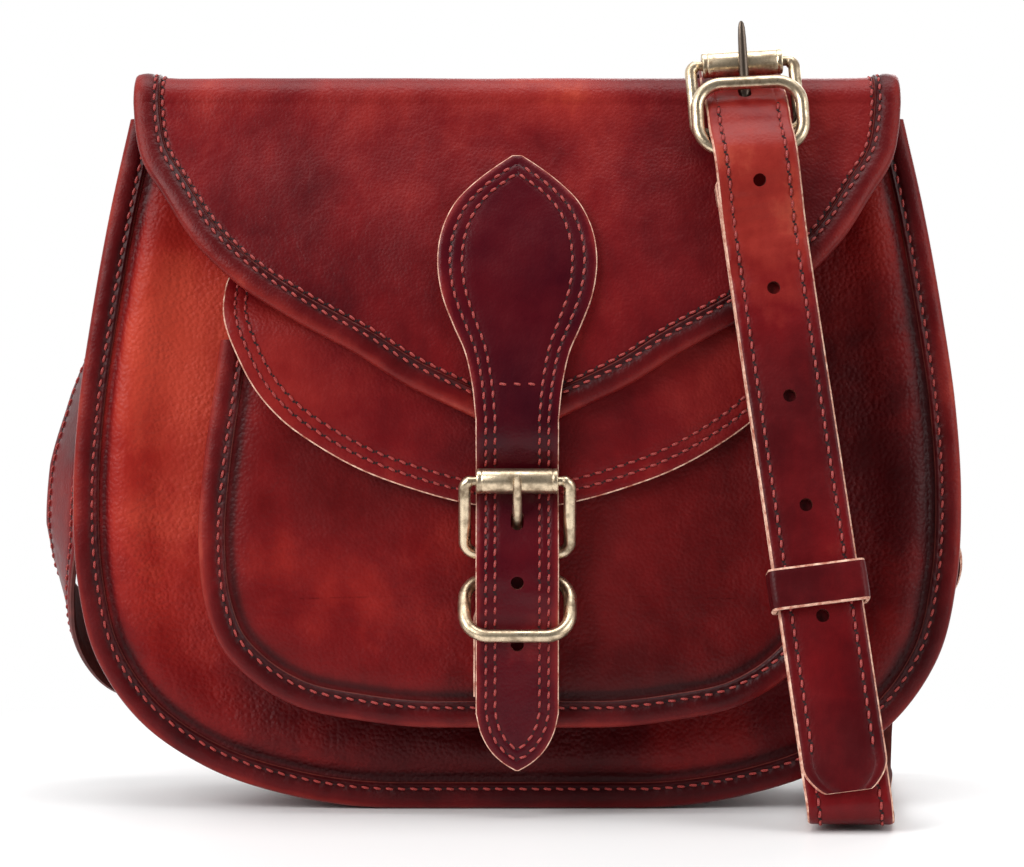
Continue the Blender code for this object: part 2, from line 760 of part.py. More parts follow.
def flap_profile():
    """The middle of the main flap's stack, from the back panel's top edge over the bag and down."""
    stack = FLAP_STACK / 2
    radius = FLAP_FOLD_RADIUS - stack
    fold = FLAP_TOP - FLAP_FOLD_RADIUS
    back = BODY_DEPTH + BODY_STACK / 2 - FLAP_FOLD_RADIUS
    front = FLAP_FOLD_RADIUS - FLAP_FRONT_REACH
    hang = POCKET_RIM_FACE - LAYER_GAP - FLAP_STACK - FREE_GAP - POCKET_FLAP_SWELL - stack
    points = [(back + radius, MOUTH + LAYER_GAP)]
    points += arc_points((back, fold), radius, 0, 90, 8)
    points += arc_points((front, fold), radius, 90, 180, 8)
    lower = curve_through(
        [
            points[-1],
            (hang - 0.8 * BINDING_REACH, FLAP_BEND_HEIGHT + 0.07 * (fold - FLAP_BEND_HEIGHT)),
            (hang - BINDING_REACH, FLAP_BEND_HEIGHT - 0.12 * (FLAP_BEND_HEIGHT - FLAP_APEX)),
            (hang - BINDING_REACH, FLAP_APEX),
        ],
        24,
    )
    return Profile(points + [tuple(p) for p in lower[1:]], 160)


def build_flap(profile, hinge, red, dark, hide):
    half = FLAP_WIDTH / 2
    drop = FLAP_TOP - FLAP_APEX
    edge = [(0.0, half), (profile.reach(FLAP_TOP - 0.081 * drop) - FLAP_FOLD_RADIUS, half)]
    for x, z in FLAP_EDGE_SHARES:
        edge.append((profile.reach(FLAP_TOP - z * drop) if z < 1 else profile.length, x * half))
    bend = profile.reach(FLAP_TOP - FLAP_FOLD_RADIUS)
    quarter = math.pi / 2 * FLAP_FOLD_RADIUS
    back_bend = FLAP_TOP - FLAP_FOLD_RADIUS - MOUTH
    turns = [0.0] + list(np.linspace(back_bend, back_bend + quarter, 7))
    turns += list(np.linspace(bend - quarter, bend, 7))
    lower = curve_through(edge[2:], 28)
    rows = widths_along(edge, turns) + [(s, w) for s, w in lower if s > bend + LAYER_GAP]
    stack = FLAP_STACK / 2

    # the binding follows the free edge in the flat pattern and is bent with the flap
    left = np.array([(-w, s) for s, w in rows])
    right = left[::-1] * (-1, 1)
    path = np.vstack([left, right])
    section = binding_section(0.0, FLAP_STACK, FLAP_BINDING_WIDTH)
    t = directions(path)
    inward = np.column_stack([t[:, 1], -t[:, 0]])
    inward[0] = (1, 0)
    inward[-1] = (-1, 0)
    trimmed = (path + inward * BINDING_REACH)[: len(left)]
    inner_rows = [(max(s, 0.0), -x) for x, s in trimmed if -x > BINDING_REACH]
    sheet("flap_panel", profile, inner_rows, -stack, -stack + FLAP_LEATHER, red, hinge)
    sheet("flap_lining", profile, inner_rows, stack - LINING_THICKNESS, stack, hide, hinge)
    rings = []
    for p, n in zip(path, inward):
        ring = []
        for reach, depth in section:
            x, s = p + n * reach
            y, z = profile.at(max(s, 0.0), depth)
            ring.append((x, y, z))
        rings.append(ring)
    loft("flap_binding", rings, dark, hinge)


def closure_profile(flap, place):
    """The leaf and strap: down the flap, behind the roller, over the bar and down to the tip."""
    thick = CLOSURE_LEATHER + LAYER_GAP / 2
    off = -FLAP_STACK / 2 - LAYER_GAP - thick
    points = [flap.at(flap.reach(h), off) for h in np.linspace(LEAF_TOP, FLAP_APEX + LEAF_SPRING, 6)]
    over = off - BINDING_REACH
    points += [flap.at(flap.reach(FLAP_APEX + LEAF_SPRING / 2), over), flap.at(flap.length, over - FREE_GAP)]
    behind = place(0, -(ROLLER_RADIUS + FREE_GAP / 2 + thick), BAR_TO_ROLLER)
    front = place(0, WIRE / 2 + LAYER_GAP + PRONG_DEPTH + FREE_GAP + thick, 0)
    points += [(behind.y, behind.z), (front.y, front.z)]
    below = front.z - CLOSURE_TIP
    for back, down in ((0.55, 0.36), (0.75, 0.62), (1.0, 1.0)):
        points.append((front.y + back * CLOSURE_SETTLE, front.z - down * below))
    return Profile(curve_through(points, 110), 110)


def build_closure(flap, hinge, place, red, hide):
    profile = closure_profile(flap, place)
    start = profile.reach(LEAF_TOP) if LEAF_TOP < profile.points[0][1] else 0.0
    half = LEAF_WIDTH / 2
    strap = CLOSURE_WIDTH / 2
    edge = [(start + z * LEAF_LENGTH, x * half) for x, z in LEAF_SHARES]
    edge.append((start + LEAF_LENGTH, strap))
    body = [(s, w) for s, w in curve_through(edge, 26)]
    end = profile.length - CLOSURE_POINT
    straight = [(s, strap) for s in np.linspace(start + LEAF_LENGTH, end, 22)[1:]]
    point = [
        (end + 0.35 * CLOSURE_POINT, 0.88 * strap),
        (end + 0.68 * CLOSURE_POINT, 0.62 * strap),
        (end + 0.90 * CLOSURE_POINT, 0.28 * strap),
        (profile.length, 0.05 * strap),
    ]
    rows = body + straight + point
    outer = -(LAYER_GAP / 2 + CLOSURE_LEATHER)
    top = sheet("closure_strap", profile, rows, outer, -LAYER_GAP / 2, red, hinge)
    backing = sheet("closure_backing", profile, rows, LAYER_GAP / 2, -outer, hide, hinge)
    # the prong's hole, stretched by it, then the plain ones below
    middles = [(0, *profile.at(s, 0)) for s in profile.along]
    first = profile.along[prong_crossing(place, middles)[0]]
    holes = []
    for k in range(3):
        s = first + k * CLOSURE_HOLE_PITCH
        low, high = profile.at(s - OVERRUN, 0), profile.at(s + OVERRUN, 0)
        here = profile.at(s, 0)
        spot = Place((0, *here), (1, 0, 0), (0, low[0] - high[0], low[1] - high[1]))
        long = STRETCHED_HOLE if k == 0 else PUNCH
        holes.append(punch(f"closure_punch_{k}", spot, long, hide))
    cut(top, holes)
    cut(backing, holes)
    return profile


def fold_over(bar_w, bar_v, radius, layer, gap, lower, steps=9):
    """(outward, along) points of a strap's end folded over a bar, front layer first."""
    front = layer / 2 + gap / 2
    start = -LOOP_TUCK
    end = math.pi + LOOP_TUCK
    points = [(bar_w + front, lower), (bar_w + front, bar_v - 2.4 * radius)]
    for a in np.linspace(start, end, steps):
        points.append((bar_w + radius * math.cos(a), bar_v + radius * math.sin(a)))
    points += [(bar_w - front, bar_v - 2.4 * radius), (bar_w - front, lower)]
    return points


def strip_in_place(name, place, line, thickness, width_at, material, parent=None, shift=0.0):
    """A strip whose middle follows (outward, along) points in a frame, as wide as its height asks."""
    t = directions(line)
    rings = []
    for i in thinned(line):
        (w, v), (tw, tv) = line[i], t[i]
        ring = []
        for side, out in ((-1, -1), (1, -1), (1, 1), (-1, 1)):
            u = shift + side * width_at(v) / 2
            deep = out * thickness / 2
            ring.append(place(u, w + tv * deep, v - tw * deep))
        rings.append(ring)
    return loft(name, rings, material, parent)


def build_closure_buckle(place, red, brass):
    """The chape sewn to the pocket, the buckle on it and the loose ring below."""
    radius = WIRE / 2 + LAYER_GAP + TAB_LEATHER / 2
    low = CHAPE_END - CLOSURE_BAR_HEIGHT
    line = fold_over(0.0, 0.0, radius, TAB_LEATHER, LAYER_GAP, -2.6 * radius - RING_WIRE)
    # below the ring the two layers step back to the pocket
    step = RING_WIRE
    front, back = line[0], line[-1]
    drops = ((1.0, None), (1.0, 3.0), (0.9, 2.0), (0.5, 1.2), (0.1, 0.4))
    sewn = [(front[0] - share * step, low if v is None else front[1] - v * step) for share, v in drops]
    sewn_back = [(back[0] - share * step, low if v is None else back[1] - v * step) for share, v in drops]
    sewn_back.reverse()
    spine = curve_through(sewn + line + sewn_back, 90)
    upright = Place(place.origin, (1, 0, 0), (0, 0, 1))

    def width_at(v):
        share = min(max((-v - 3.0 * RING_WIRE) / (2.0 * RING_WIRE), 0), 1)
        return LOOP_WIDTH + share * (CLOSURE_WIDTH - LOOP_WIDTH)

    chape = strip_in_place("chape", upright, spine, TAB_LEATHER, width_at, red, None, -CHAPE_SHIFT)
    slot = PRONG_WIDTH / 2 + FREE_GAP
    reach = radius + TAB_LEATHER
    cut(chape, [box("chape_slot", upright, (-slot, -reach, -1.5 * reach), (slot, reach, reach), red)])

    hinge = pivot("closure_frame_pivot", place.origin)
    buckle_frame("closure_frame", place, brass, hinge)
    spin = pivot("closure_roller_axis", place(0, 0, BAR_TO_ROLLER))
    bore = ROLLER_RADIUS - ROLLER_WALL
    turned_tube("closure_roller", place, BAR_TO_ROLLER, ROLLER_RADIUS, bore, ROLLER_LENGTH, brass, spin)
    swing = pivot("closure_prong_pivot", place.origin)
    buckle_prong("closure_prong", place, CLOSURE_PRONG_REACH, brass, swing)


def oval_ring(name, place, corner, material, parent):
    """A loose oval keeper, its upper bar at the frame's origin and its lower bar below it."""
    height = RING_HEIGHT - RING_WIRE
    path = rounded_loop(RING_WIDTH - RING_WIRE, -height, 0.0, corner, 4)
    return wire_loop(name, place, path, RING_WIRE / 2, material, parent)


def ring_place(origin, lower):
    """A frame at a ring's upper bar that runs up from its lower bar."""
    return Place(origin, (1, 0, 0), Vector(origin) - Vector(lower))


def build_closure_ring(place, profile, brass):
    chape_back = LAYER_GAP / 2 + TAB_LEATHER
    upper_y = place.origin.y + chape_back + LAYER_GAP + RING_WIRE / 2
    upper_z = CLOSURE_BAR_HEIGHT - WIRE / 2 - TAB_LEATHER - LAYER_GAP - 1.15 * RING_WIRE
    span = RING_HEIGHT - RING_WIRE
    off = -(CLOSURE_LEATHER + LAYER_GAP / 2 + 2 * FREE_GAP + RING_WIRE / 2)
    lower = min(
        (profile.at(s, off) for s in np.linspace(0, profile.length, 600)),
        key=lambda p: abs(math.hypot(p[0] - upper_y, p[1] - upper_z) - span) + (p[1] > upper_z),
    )
    frame = ring_place((0, upper_y, upper_z), (0, *lower))
    hang = pivot("closure_ring_hang", frame.origin)
    oval_ring("closure_ring", frame, RING_CORNER, brass, hang)


def strap_frames(flap):
    """The shoulder buckle's frame at its bar and the strap's frame at its foot."""
    bar_out = WIRE / 2 + BAR_PLAY + STRAP_LEATHER
    face = flap.at(flap.reach(SHOULDER_BAR_HEIGHT - bar_out), -FLAP_STACK / 2)[0]
    bar_y = face - FREE_GAP - bar_out
    main = STRAP_LEATHER / 2 + LAYER_GAP
    rise = SHOULDER_BAR_HEIGHT - STRAP_FOOT_Z
    foot_y = bar_y - main - rise * math.tan(STRAP_LEAN)
    bar_x = STRAP_FOOT_X - rise * math.tan(STRAP_SIDE_TILT)
    strap = Place(
        (STRAP_FOOT_X, foot_y, STRAP_FOOT_Z),
        (1, 0, 0),
        (-math.tan(STRAP_SIDE_TILT), math.tan(STRAP_LEAN), 1),
    )
    length = rise / strap.along.z
    bar = strap(0, -main, length)
    buckle = Place(
        bar, (1, 0, 0), (-math.tan(BUCKLE_SIDE_TILT), math.tan(BUCKLE_LEAN), 1),
    )
    return buckle, strap, length, main


def build_short_strap_front(buckle, strap, length, main, red, brass):
    """Up from the foot bend, folded over the buckle's bar and sewn to itself."""
    foot = pivot("short_strap_fold", strap(0, STRAP_LEATHER / 2, 0))
    radius = WIRE / 2 + BAR_PLAY + STRAP_LEATHER / 2
    line = fold_over(-main, length, radius, STRAP_LEATHER, 2 * LAYER_GAP, length - FOLD_OVER)
    line = curve_through([(0.0, LAYER_GAP), (0.0, 0.5 * length)] + line, 200)

    def width_at(v):
        share = min(max((length - 3.0 * radius - v) / radius, 0), 1)
        return LOOP_WIDTH + share * (STRAP_WIDTH - LOOP_WIDTH)

    piece = strip_in_place("short_strap_front", strap, line, STRAP_LEATHER, width_at, red, foot)
    slot = PRONG_WIDTH / 2 + 2 * FREE_GAP
    reach = radius + STRAP_LEATHER
    low = (-slot, -main - reach, length - 1.4 * reach)
    high = (slot, -main + reach, length + reach)
    cut(piece, [box("short_strap_slot", strap, low, high, red)])

    hinge = pivot("shoulder_frame_pivot", buckle.origin)
    buckle_frame("shoulder_frame", buckle, brass, hinge)
    spin = pivot("shoulder_roller_axis", buckle(0, 0, BAR_TO_ROLLER))
    bore = ROLLER_RADIUS - ROLLER_WALL
    turned_tube("shoulder_roller", buckle, BAR_TO_ROLLER, ROLLER_RADIUS, bore, ROLLER_LENGTH, brass, spin)
    swing = pivot("shoulder_prong_pivot", buckle.origin)
    buckle_prong("shoulder_prong", buckle, SHOULDER_PRONG_REACH, brass, swing)


def shoulder_ring_frame(buckle):
    """The ring stands round the strap, behind its tail below the bar and before it above."""
    lower = buckle(LAYER_GAP, *RING_LOWER)
    upper = buckle(FREE_GAP, *RING_UPPER)
    return Place(upper, buckle.across, upper - lower)


def build_shoulder_ring(buckle, brass):
    frame = shoulder_ring_frame(buckle)
    hook = pivot("shoulder_ring_slide", frame.origin)
    oval_ring("shoulder_ring", frame, RING_CORNER, brass, hook)


def build_keeper(strap, red):
    """A leather loop round both straps, with an open gap in front of them."""
    v = KEEPER_HEIGHT / strap.along.z
    slot = STRAP_LEATHER / 2 + FREE_GAP
    front = STRAP_LEATHER / 2 + LAYER_GAP + STRAP_LEATHER + KEEPER_SLACK
    low, high = -slot - KEEPER_LEATHER / 2, front + KEEPER_LEATHER / 2
    width = STRAP_WIDTH + 2 * FREE_GAP + KEEPER_LEATHER
    hook = pivot("keeper_slide", strap(0, 0, v))
    path = rounded_loop(width, low, high, 1.2 * KEEPER_LEATHER, 2)
    count = len(path)
    rings = []
    for i, (u, w, _) in enumerate(path):
        before, after = path[i - 1], path[(i + 1) % count]
        run = Vector((after[0] - before[0], after[1] - before[1])).normalized()
        ring = []
        for out, up in ((-1, -1), (1, -1), (1, 1), (-1, 1)):
            d = out * KEEPER_LEATHER / 2
            ring.append(strap(u + run.y * d, w - run.x * d, v + up * KEEPER_TALL / 2))
        rings.append(ring)
    loft("strap_keeper", rings, red, hook, closed=True)


def build_long_strap_front(flap, hinge, buckle, strap, length, red):
    """Over the flap's top, under the roller, over the bar and through the ring, then the tail."""
    off = -(FLAP_STACK / 2 + FREE_GAP + STRAP_LEATHER / 2)
    fold = flap.reach(FLAP_TOP - FLAP_FOLD_RADIUS)
    roller_x = buckle(0, 0, BAR_TO_ROLLER).x
    back_x = LONG_STRAP_CROSSING_SHARE * BODY_WIDTH / 2
    leave = fold - 0.72 * FLAP_FOLD_RADIUS
    points = []
    for share in np.linspace(0, 1, 34):
        drift = share * share * (3 - 2 * share)
        points.append(Vector((back_x + (roller_x - back_x) * drift, *flap.at(share * leave, off))))
    press = WIRE / 2 + BAR_PLAY + STRAP_LEATHER + FREE_GAP + STRAP_LEATHER / 2
    for angle in (0.6, 0.0):
        points.append(buckle(0, press * math.cos(angle), press * math.sin(angle)))
    lower = shoulder_ring_frame(buckle)(0, 0, RING_WIRE - RING_HEIGHT)
    before = lower + strap.outward * (RING_WIRE / 2 + 3 * FREE_GAP + STRAP_LEATHER / 2) - strap.origin
    points.append(strap(0, before.dot(strap.outward), before.dot(strap.along)))
    tail = STRAP_LEATHER + LAYER_GAP
    points += [
        strap(0, tail + TAIL_SETTLE, 0.84 * length),
        strap(0, tail, 0.74 * length),
        strap(0, tail, 0.5 * length),
        strap(0, tail, (TAIL_TIP - STRAP_FOOT_Z) / strap.along.z),
    ]
    middles = curve_through([tuple(p) for p in points], 260, start=(0, 0, 1))
    along = lengths(middles)
    left = [min((along[-1] - s) / TAIL_POINT, 1) for s in along]
    widths = [STRAP_WIDTH * (0.55 + 0.45 * share) for share in left]
    across = []
    for p in middles:
        share = min(max((FLAP_TOP - p[2]) / TAIL_TWIST, 0), 1) if p[1] < 0 else 0.0
        across.append(Vector((1, 0, 0)).lerp(strap.across, share))
    piece = ribbon("long_strap_front", middles, across, STRAP_LEATHER, widths, red, hinge)

    # holes: the one on the prong, stretched by it, and then one at each pitch
    crossing, meeting = prong_crossing(buckle, middles)
    holes = []
    for k in range(TAIL_HOLES + 1):
        s = along[crossing] + k * TAIL_HOLE_PITCH
        here = Vector([float(np.interp(s, along, middles[:, j])) for j in range(3)])
        ahead = Vector([float(np.interp(s - OVERRUN, along, middles[:, j])) for j in range(3)])
        side = across[crossing] if k == 0 else strap.across
        spot = Place(meeting if k == 0 else here, side, ahead - here)
        long = STRETCHED_HOLE if k == 0 else PUNCH
        holes.append(punch(f"tail_punch_{k}", spot, long, red))
    cut(piece, holes)


def side_place(sign, path):
    """A frame on the gusset's outside at the side ring's height: along runs up the gusset."""
    outer = inset(path, GUSSET_RECESS)
    half = outer[len(outer) // 2:]
    x = float(np.interp(SIDE_RING_HEIGHT, half[:, 1], half[:, 0]))
    low = float(np.interp(SIDE_RING_HEIGHT - RING_HEIGHT, half[:, 1], half[:, 0]))
    along = (sign * (x - low), 0, RING_HEIGHT)
    return Place((sign * x, BODY_DEPTH / 2, SIDE_RING_HEIGHT), (0, sign, 0), along)


def build_side_ring(side, sign, path, red, brass):
    place = side_place(sign, path)
    radius = RING_WIRE / 2 + LAYER_GAP + TAB_LEATHER / 2
    bar = LAYER_GAP + radius + TAB_LEATHER / 2
    line = fold_over(bar, 0.0, radius, TAB_LEATHER, LAYER_GAP, 0.0)
    line = [(w, -v) for w, v in line[1:-1]]
    web = LAYER_GAP + TAB_LEATHER / 2
    step = TAB_LEATHER + LAYER_GAP
    line = [(web + step, TAB_LENGTH), (web + step, 0.6 * TAB_LENGTH)] + line[1:-1]
    line += [(web, 0.6 * TAB_LENGTH), (web, TAB_LENGTH)]
    spine = curve_through(line, 40)
    strip_in_place(f"{side}_ring_tab", place, spine, TAB_LEATHER, lambda v: TAB_WIDTH, red)
    upper = place(0, bar, 0)
    lower = place(0, bar + SIDE_RING_HANG, RING_WIRE - RING_HEIGHT)
    frame = Place(upper, place.across, upper - lower)
    oval_ring(f"{side}_ring", frame, SIDE_RING_CORNER, brass, None)
    return frame


def strap_run(name, ring, run_shares, ends, heading, red):
    """A strap's sewn end round a side ring's lower bar, then its run round the bag."""
    span = RING_HEIGHT - RING_WIRE
    radius = RING_WIRE / 2 + LAYER_GAP + STRAP_LEATHER / 2
    loop = fold_over(0.0, 0.0, radius, STRAP_LEATHER, 2 * LAYER_GAP, -FOLD_OVER)
    places = [ring(0, w, v - span) for w, v in loop[:0:-1]]
    first = len(places) - 1
    sides = [None] * len(places)
    for (x, y, z), out in run_shares:
        places.append(Vector((x * BODY_WIDTH / 2, y * BODY_DEPTH, z * BODY_HEIGHT)))
        sides.append(Vector(out))
    for place, out in ends:
        places.append(Vector(place))
        sides.append(Vector(out))
    middles = curve_through([tuple(p) for p in places], 300, end=tuple(heading))
    along = lengths(middles)
    nearest = [np.argmin(np.linalg.norm(middles - np.array(tuple(p)), axis=1)) for p in places]
    marks = along[nearest]

    across = []
    for s, t in zip(along, directions(middles)):
        k = min(int(np.searchsorted(marks, s, side="right")) - 1, len(places) - 2)
        if k < first:
            across.append(-ring.across)
            continue
        two = Vector(t).cross(sides[k + 1]).normalized()
        one = -ring.across if k == first else Vector(t).cross(sides[k]).normalized()
        across.append(one.lerp(two, float((s - marks[k]) / (marks[k + 1] - marks[k]))))
    beyond = [min(max((s - marks[first]) / FOLD_OVER, 0), 1) for s in along]
    widths = [LOOP_WIDTH + (STRAP_WIDTH - LOOP_WIDTH) * share for share in beyond]
    ribbon(name, middles, across, STRAP_LEATHER, widths, red)


def main():
    clear_scene()
    red = leather("red leather", (0.30, 0.035, 0.025))
    dark = leather("dark red binding", (0.20, 0.03, 0.025))
    hide = leather("raw leather back", (0.55, 0.36, 0.27), 0.8)
    cloth = leather("cotton lining", (0.25, 0.17, 0.11), 0.9)
    zip_black = leather("zip tape", (0.03, 0.03, 0.03), 0.8)
    brass = metal("antique brass", (0.48, 0.36, 0.22), 0.35)

    path, wall = build_body(red, dark, cloth)
    build_inner_pocket(wall, cloth, brass, zip_black)
    build_pocket(red, dark)
    build_pocket_flap(red, hide)

    flap = flap_profile()
    hinge = pivot("flap_hinge", FLAP_HINGE)
    build_flap(flap, hinge, red, dark, hide)

    chape_middle = POCKET_FACE - LAYER_GAP - RING_WIRE - FREE_GAP - TAB_LEATHER - LAYER_GAP / 2
    bar = (0, chape_middle, CLOSURE_BAR_HEIGHT)
    lean = CLOSURE_BUCKLE_LEAN
    buckle = Place(bar, (1, 0, 0), (0, -math.sin(lean), math.cos(lean)))
    profile = build_closure(flap, hinge, buckle, red, hide)
    build_closure_buckle(buckle, red, brass)
    build_closure_ring(buckle, profile, brass)

    shoulder, strap, length, behind = strap_frames(flap)
    build_short_strap_front(shoulder, strap, length, behind, red, brass)
    build_shoulder_ring(shoulder, brass)
    build_keeper(strap, red)
    build_long_strap_front(flap, hinge, shoulder, strap, length, red)

    left = build_side_ring("left", -1, path, red, brass)
    right = build_side_ring("right", 1, path, red, brass)
    start = flap.at(0, -(FLAP_STACK / 2 + FREE_GAP + STRAP_LEATHER / 2))
    x = LONG_STRAP_CROSSING_SHARE * BODY_WIDTH / 2
    ends = [
        ((x, start[0], MOUTH - BINDING_WIDTH), (0, 1, 0)),
        ((x, start[0], start[1] - STRAP_LEATHER / 2), (0, 1, 0)),
    ]
    strap_run("long_strap_rear", left, LONG_STRAP_RUN_SHARES, ends, (0, 0, 1), red)
    foot = strap(0, 0, -LAYER_GAP)
    level = FLOOR_CLEARANCE + STRAP_LEATHER / 2
    under = Vector((0, 0, -1))
    ends = []
    for back, up, slant in ((2.0, 0.0, 2.55), (1.0, 0.0, 1.55), (0.3, 0.3, 0.77)):
        x = foot.x + slant * FOOT_BEND * math.tan(STRAP_SIDE_TILT)
        out = under + strap.outward if up else under
        ends.append(((x, foot.y + back * FOOT_BEND, level + up * FOOT_BEND), out))
    ends.append((foot, strap.outward))
    strap_run("short_strap_rear", right, SHORT_STRAP_RUN_SHARES, ends, strap.along, red)


main()
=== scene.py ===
"""Crossbody satchel: every visible piece of leather, thread and brass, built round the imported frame."""
import math

import bmesh
import bpy
import numpy as np
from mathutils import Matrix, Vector, noise


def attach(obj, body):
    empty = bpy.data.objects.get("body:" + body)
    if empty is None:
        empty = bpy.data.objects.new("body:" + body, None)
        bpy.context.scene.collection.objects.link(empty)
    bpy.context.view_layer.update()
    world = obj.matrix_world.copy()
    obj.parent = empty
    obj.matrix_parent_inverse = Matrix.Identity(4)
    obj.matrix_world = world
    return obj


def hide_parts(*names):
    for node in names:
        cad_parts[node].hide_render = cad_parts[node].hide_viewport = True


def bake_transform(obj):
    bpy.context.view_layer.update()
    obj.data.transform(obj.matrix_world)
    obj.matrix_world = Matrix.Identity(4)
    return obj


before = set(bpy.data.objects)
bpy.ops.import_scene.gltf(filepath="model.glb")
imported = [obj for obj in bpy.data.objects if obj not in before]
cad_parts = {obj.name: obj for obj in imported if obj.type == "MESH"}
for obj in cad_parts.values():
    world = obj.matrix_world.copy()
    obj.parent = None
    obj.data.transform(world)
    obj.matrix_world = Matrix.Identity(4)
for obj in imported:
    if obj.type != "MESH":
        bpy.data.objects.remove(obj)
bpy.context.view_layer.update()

# Studio: a plain white table under four soft windows, to the left, to the right, above and behind.
# The camera stands a metre off, level with the middle of the bag.
camera_data = bpy.data.cameras.new("camera")
camera_data.lens = 111.5
camera_data.sensor_width = 36
camera = bpy.data.objects.new("camera", camera_data)
camera.location = (-0.0016, -1.0, 0.1181)
camera.rotation_euler = (math.pi / 2, 0, 0)
bpy.context.collection.objects.link(camera)
bpy.context.scene.camera = camera
bpy.context.scene.view_settings.view_transform = "Standard"


def linear(colour):
    """An sRGB hex colour as linear red, green, blue and alpha."""
    parts = [int(colour[i:i + 2], 16) / 255 for i in (1, 3, 5)]
    return tuple(c / 12.92 if c <= 0.04045 else ((c + 0.055) / 1.055) ** 2.4 for c in parts) + (1.0,)


def add(tree, kind, inputs=None, **settings):
    """Adds a node with its settings, and gives its sockets values or links."""
    made = tree.nodes.new(kind)
    for key, value in settings.items():
        setattr(made, key, value)
    for key, value in (inputs or {}).items():
        if isinstance(value, tuple) and isinstance(value[0], bpy.types.Node):
            tree.links.new(value[0].outputs[value[1]], made.inputs[key])
        else:
            made.inputs[key].default_value = value
    return made


def blank_material(name):
    """A material with only its output, and the node tree to fill."""
    material = bpy.data.materials.new(name)
    material.use_nodes = True
    tree = material.node_tree
    tree.nodes.clear()
    return material, tree


def soft_panel(name, place, target, size, power):
    """A rectangular soft light aimed at a point."""
    data = bpy.data.lights.new(name, "AREA")
    data.shape = "RECTANGLE"
    data.size, data.size_y = size
    data.energy = power
    lamp = bpy.data.objects.new(name, data)
    lamp.location = place
    lamp.rotation_euler = (Vector(target) - Vector(place)).to_track_quat("-Z", "Y").to_euler()
    bpy.context.collection.objects.link(lamp)


middle = (0.0, 0.02, 0.11)
soft_panel("window_left", (-0.95, -0.85, 0.75), middle, (0.9, 0.9), 17.0)
soft_panel("window_right", (1.05, -0.75, 0.45), middle, (0.6, 0.9), 6.0)
soft_panel("window_above", (0.0, -0.1, 1.35), middle, (1.2, 0.8), 12.0)
soft_panel("window_behind", (0.5, 1.3, 0.8), middle, (1.0, 0.8), 7.0)

world = bpy.data.worlds.new("studio")
world.use_nodes = True
bpy.context.scene.world = world
sky = world.node_tree
sky.nodes.clear()
rays = add(sky, "ShaderNodeLightPath")
ways = add(sky, "ShaderNodeTexCoord")
split = add(sky, "ShaderNodeSeparateXYZ", {0: (ways, "Generated")})
# the studio behind the camera is dark, so that brass shows it between the white panels
shade = add(sky, "ShaderNodeMapRange", {0: (split, "Y"), 1: -0.75, 2: 0.1, 3: 0.14, 4: 1.0})
mirrored = add(sky, "ShaderNodeMath", {0: (rays, "Is Glossy Ray"), 1: (shade, 0)}, operation="MULTIPLY")
spread = add(sky, "ShaderNodeMath", {0: (rays, "Is Diffuse Ray"), 1: 0.27}, operation="MULTIPLY")
seen = add(sky, "ShaderNodeMath", {0: (rays, "Is Camera Ray"), 1: (mirrored, 0)}, operation="MAXIMUM")
seen = add(sky, "ShaderNodeMath", {0: (rays, "Is Transmission Ray"), 1: (seen, 0)}, operation="MAXIMUM")
level = add(sky, "ShaderNodeMath", {0: (spread, 0), 1: (seen, 0)}, operation="MAXIMUM")
light = add(sky, "ShaderNodeBackground", {"Color": linear("#ffffff"), "Strength": (level, 0)})
add(sky, "ShaderNodeOutputWorld", {"Surface": (light, 0)})

table_white, tree = blank_material("white laminate table")
# a matt white board near the bag that goes over into the white backdrop further out
where = add(tree, "ShaderNodeTexCoord")
far = add(tree, "ShaderNodeVectorMath", {0: (where, "Object")}, operation="LENGTH")
fade = add(tree, "ShaderNodeMapRange", {0: (far, "Value"), 1: 0.22, 2: 0.42}, interpolation_type="SMOOTHSTEP")
board = add(tree, "ShaderNodeBsdfPrincipled", {
    "Base Color": linear("#fbfbfb"), "Roughness": 0.35, "Specular IOR Level": 0.3})
clear = add(tree, "ShaderNodeBsdfTransparent")
both = add(tree, "ShaderNodeMixShader", {0: (fade, 0), 1: (board, 0), 2: (clear, 0)})
add(tree, "ShaderNodeOutputMaterial", {"Surface": (both, 0)})
bpy.ops.mesh.primitive_circle_add(vertices=96, radius=0.45, fill_type="NGON")
table = bpy.context.object
table.name = "table"
table.data.materials.append(table_white)

# Front and back panels of the body: goat leather, drum dyed red, waxed and rubbed by hand. Each is
# sewn flat at its rim and swells inside the seam, where the leather is pushed out by what it holds.
body_width = 0.280
body_height = 0.217
body_depth = 0.080
mouth = 0.214
body_size = (body_width / 2, 0.0, body_height)
rim_outline = (
    (0.264, 0.0), (0.50, 0.017), (0.70, 0.060), (0.85, 0.127), (0.950, 0.222), (0.990, 0.330),
    (1.0, 0.450), (0.988, 0.580), (0.957, 0.720), (0.915, 0.870), (0.870, 1.0),
)


def curve_through(points, spans, start=None, end=None):
    """Evenly spaced points on a smooth curve through the given ones."""
    p = np.array(points, float)
    gaps = np.linalg.norm(np.diff(p, axis=0), axis=1)
    slopes = np.diff(p, axis=0) / gaps[:, None]
    tangents = np.empty_like(p)
    before, after = gaps[:-1, None], gaps[1:, None]
    tangents[1:-1] = (slopes[:-1] * after + slopes[1:] * before) / (before + after)
    tangents[0] = slopes[0] if start is None else start
    tangents[-1] = slopes[-1] if end is None else end
    fine = []
    for i, gap in enumerate(gaps):
        for t in np.linspace(0, 1, 24, endpoint=False):
            a, b = 2 * t**3 - 3 * t**2 + 1, t**3 - 2 * t**2 + t
            c, d = 3 * t**2 - 2 * t**3, t**3 - t**2
            fine.append(a * p[i] + b * gap * tangents[i] + c * p[i + 1] + d * gap * tangents[i + 1])
    fine.append(p[-1])
    return spaced(fine, spans)


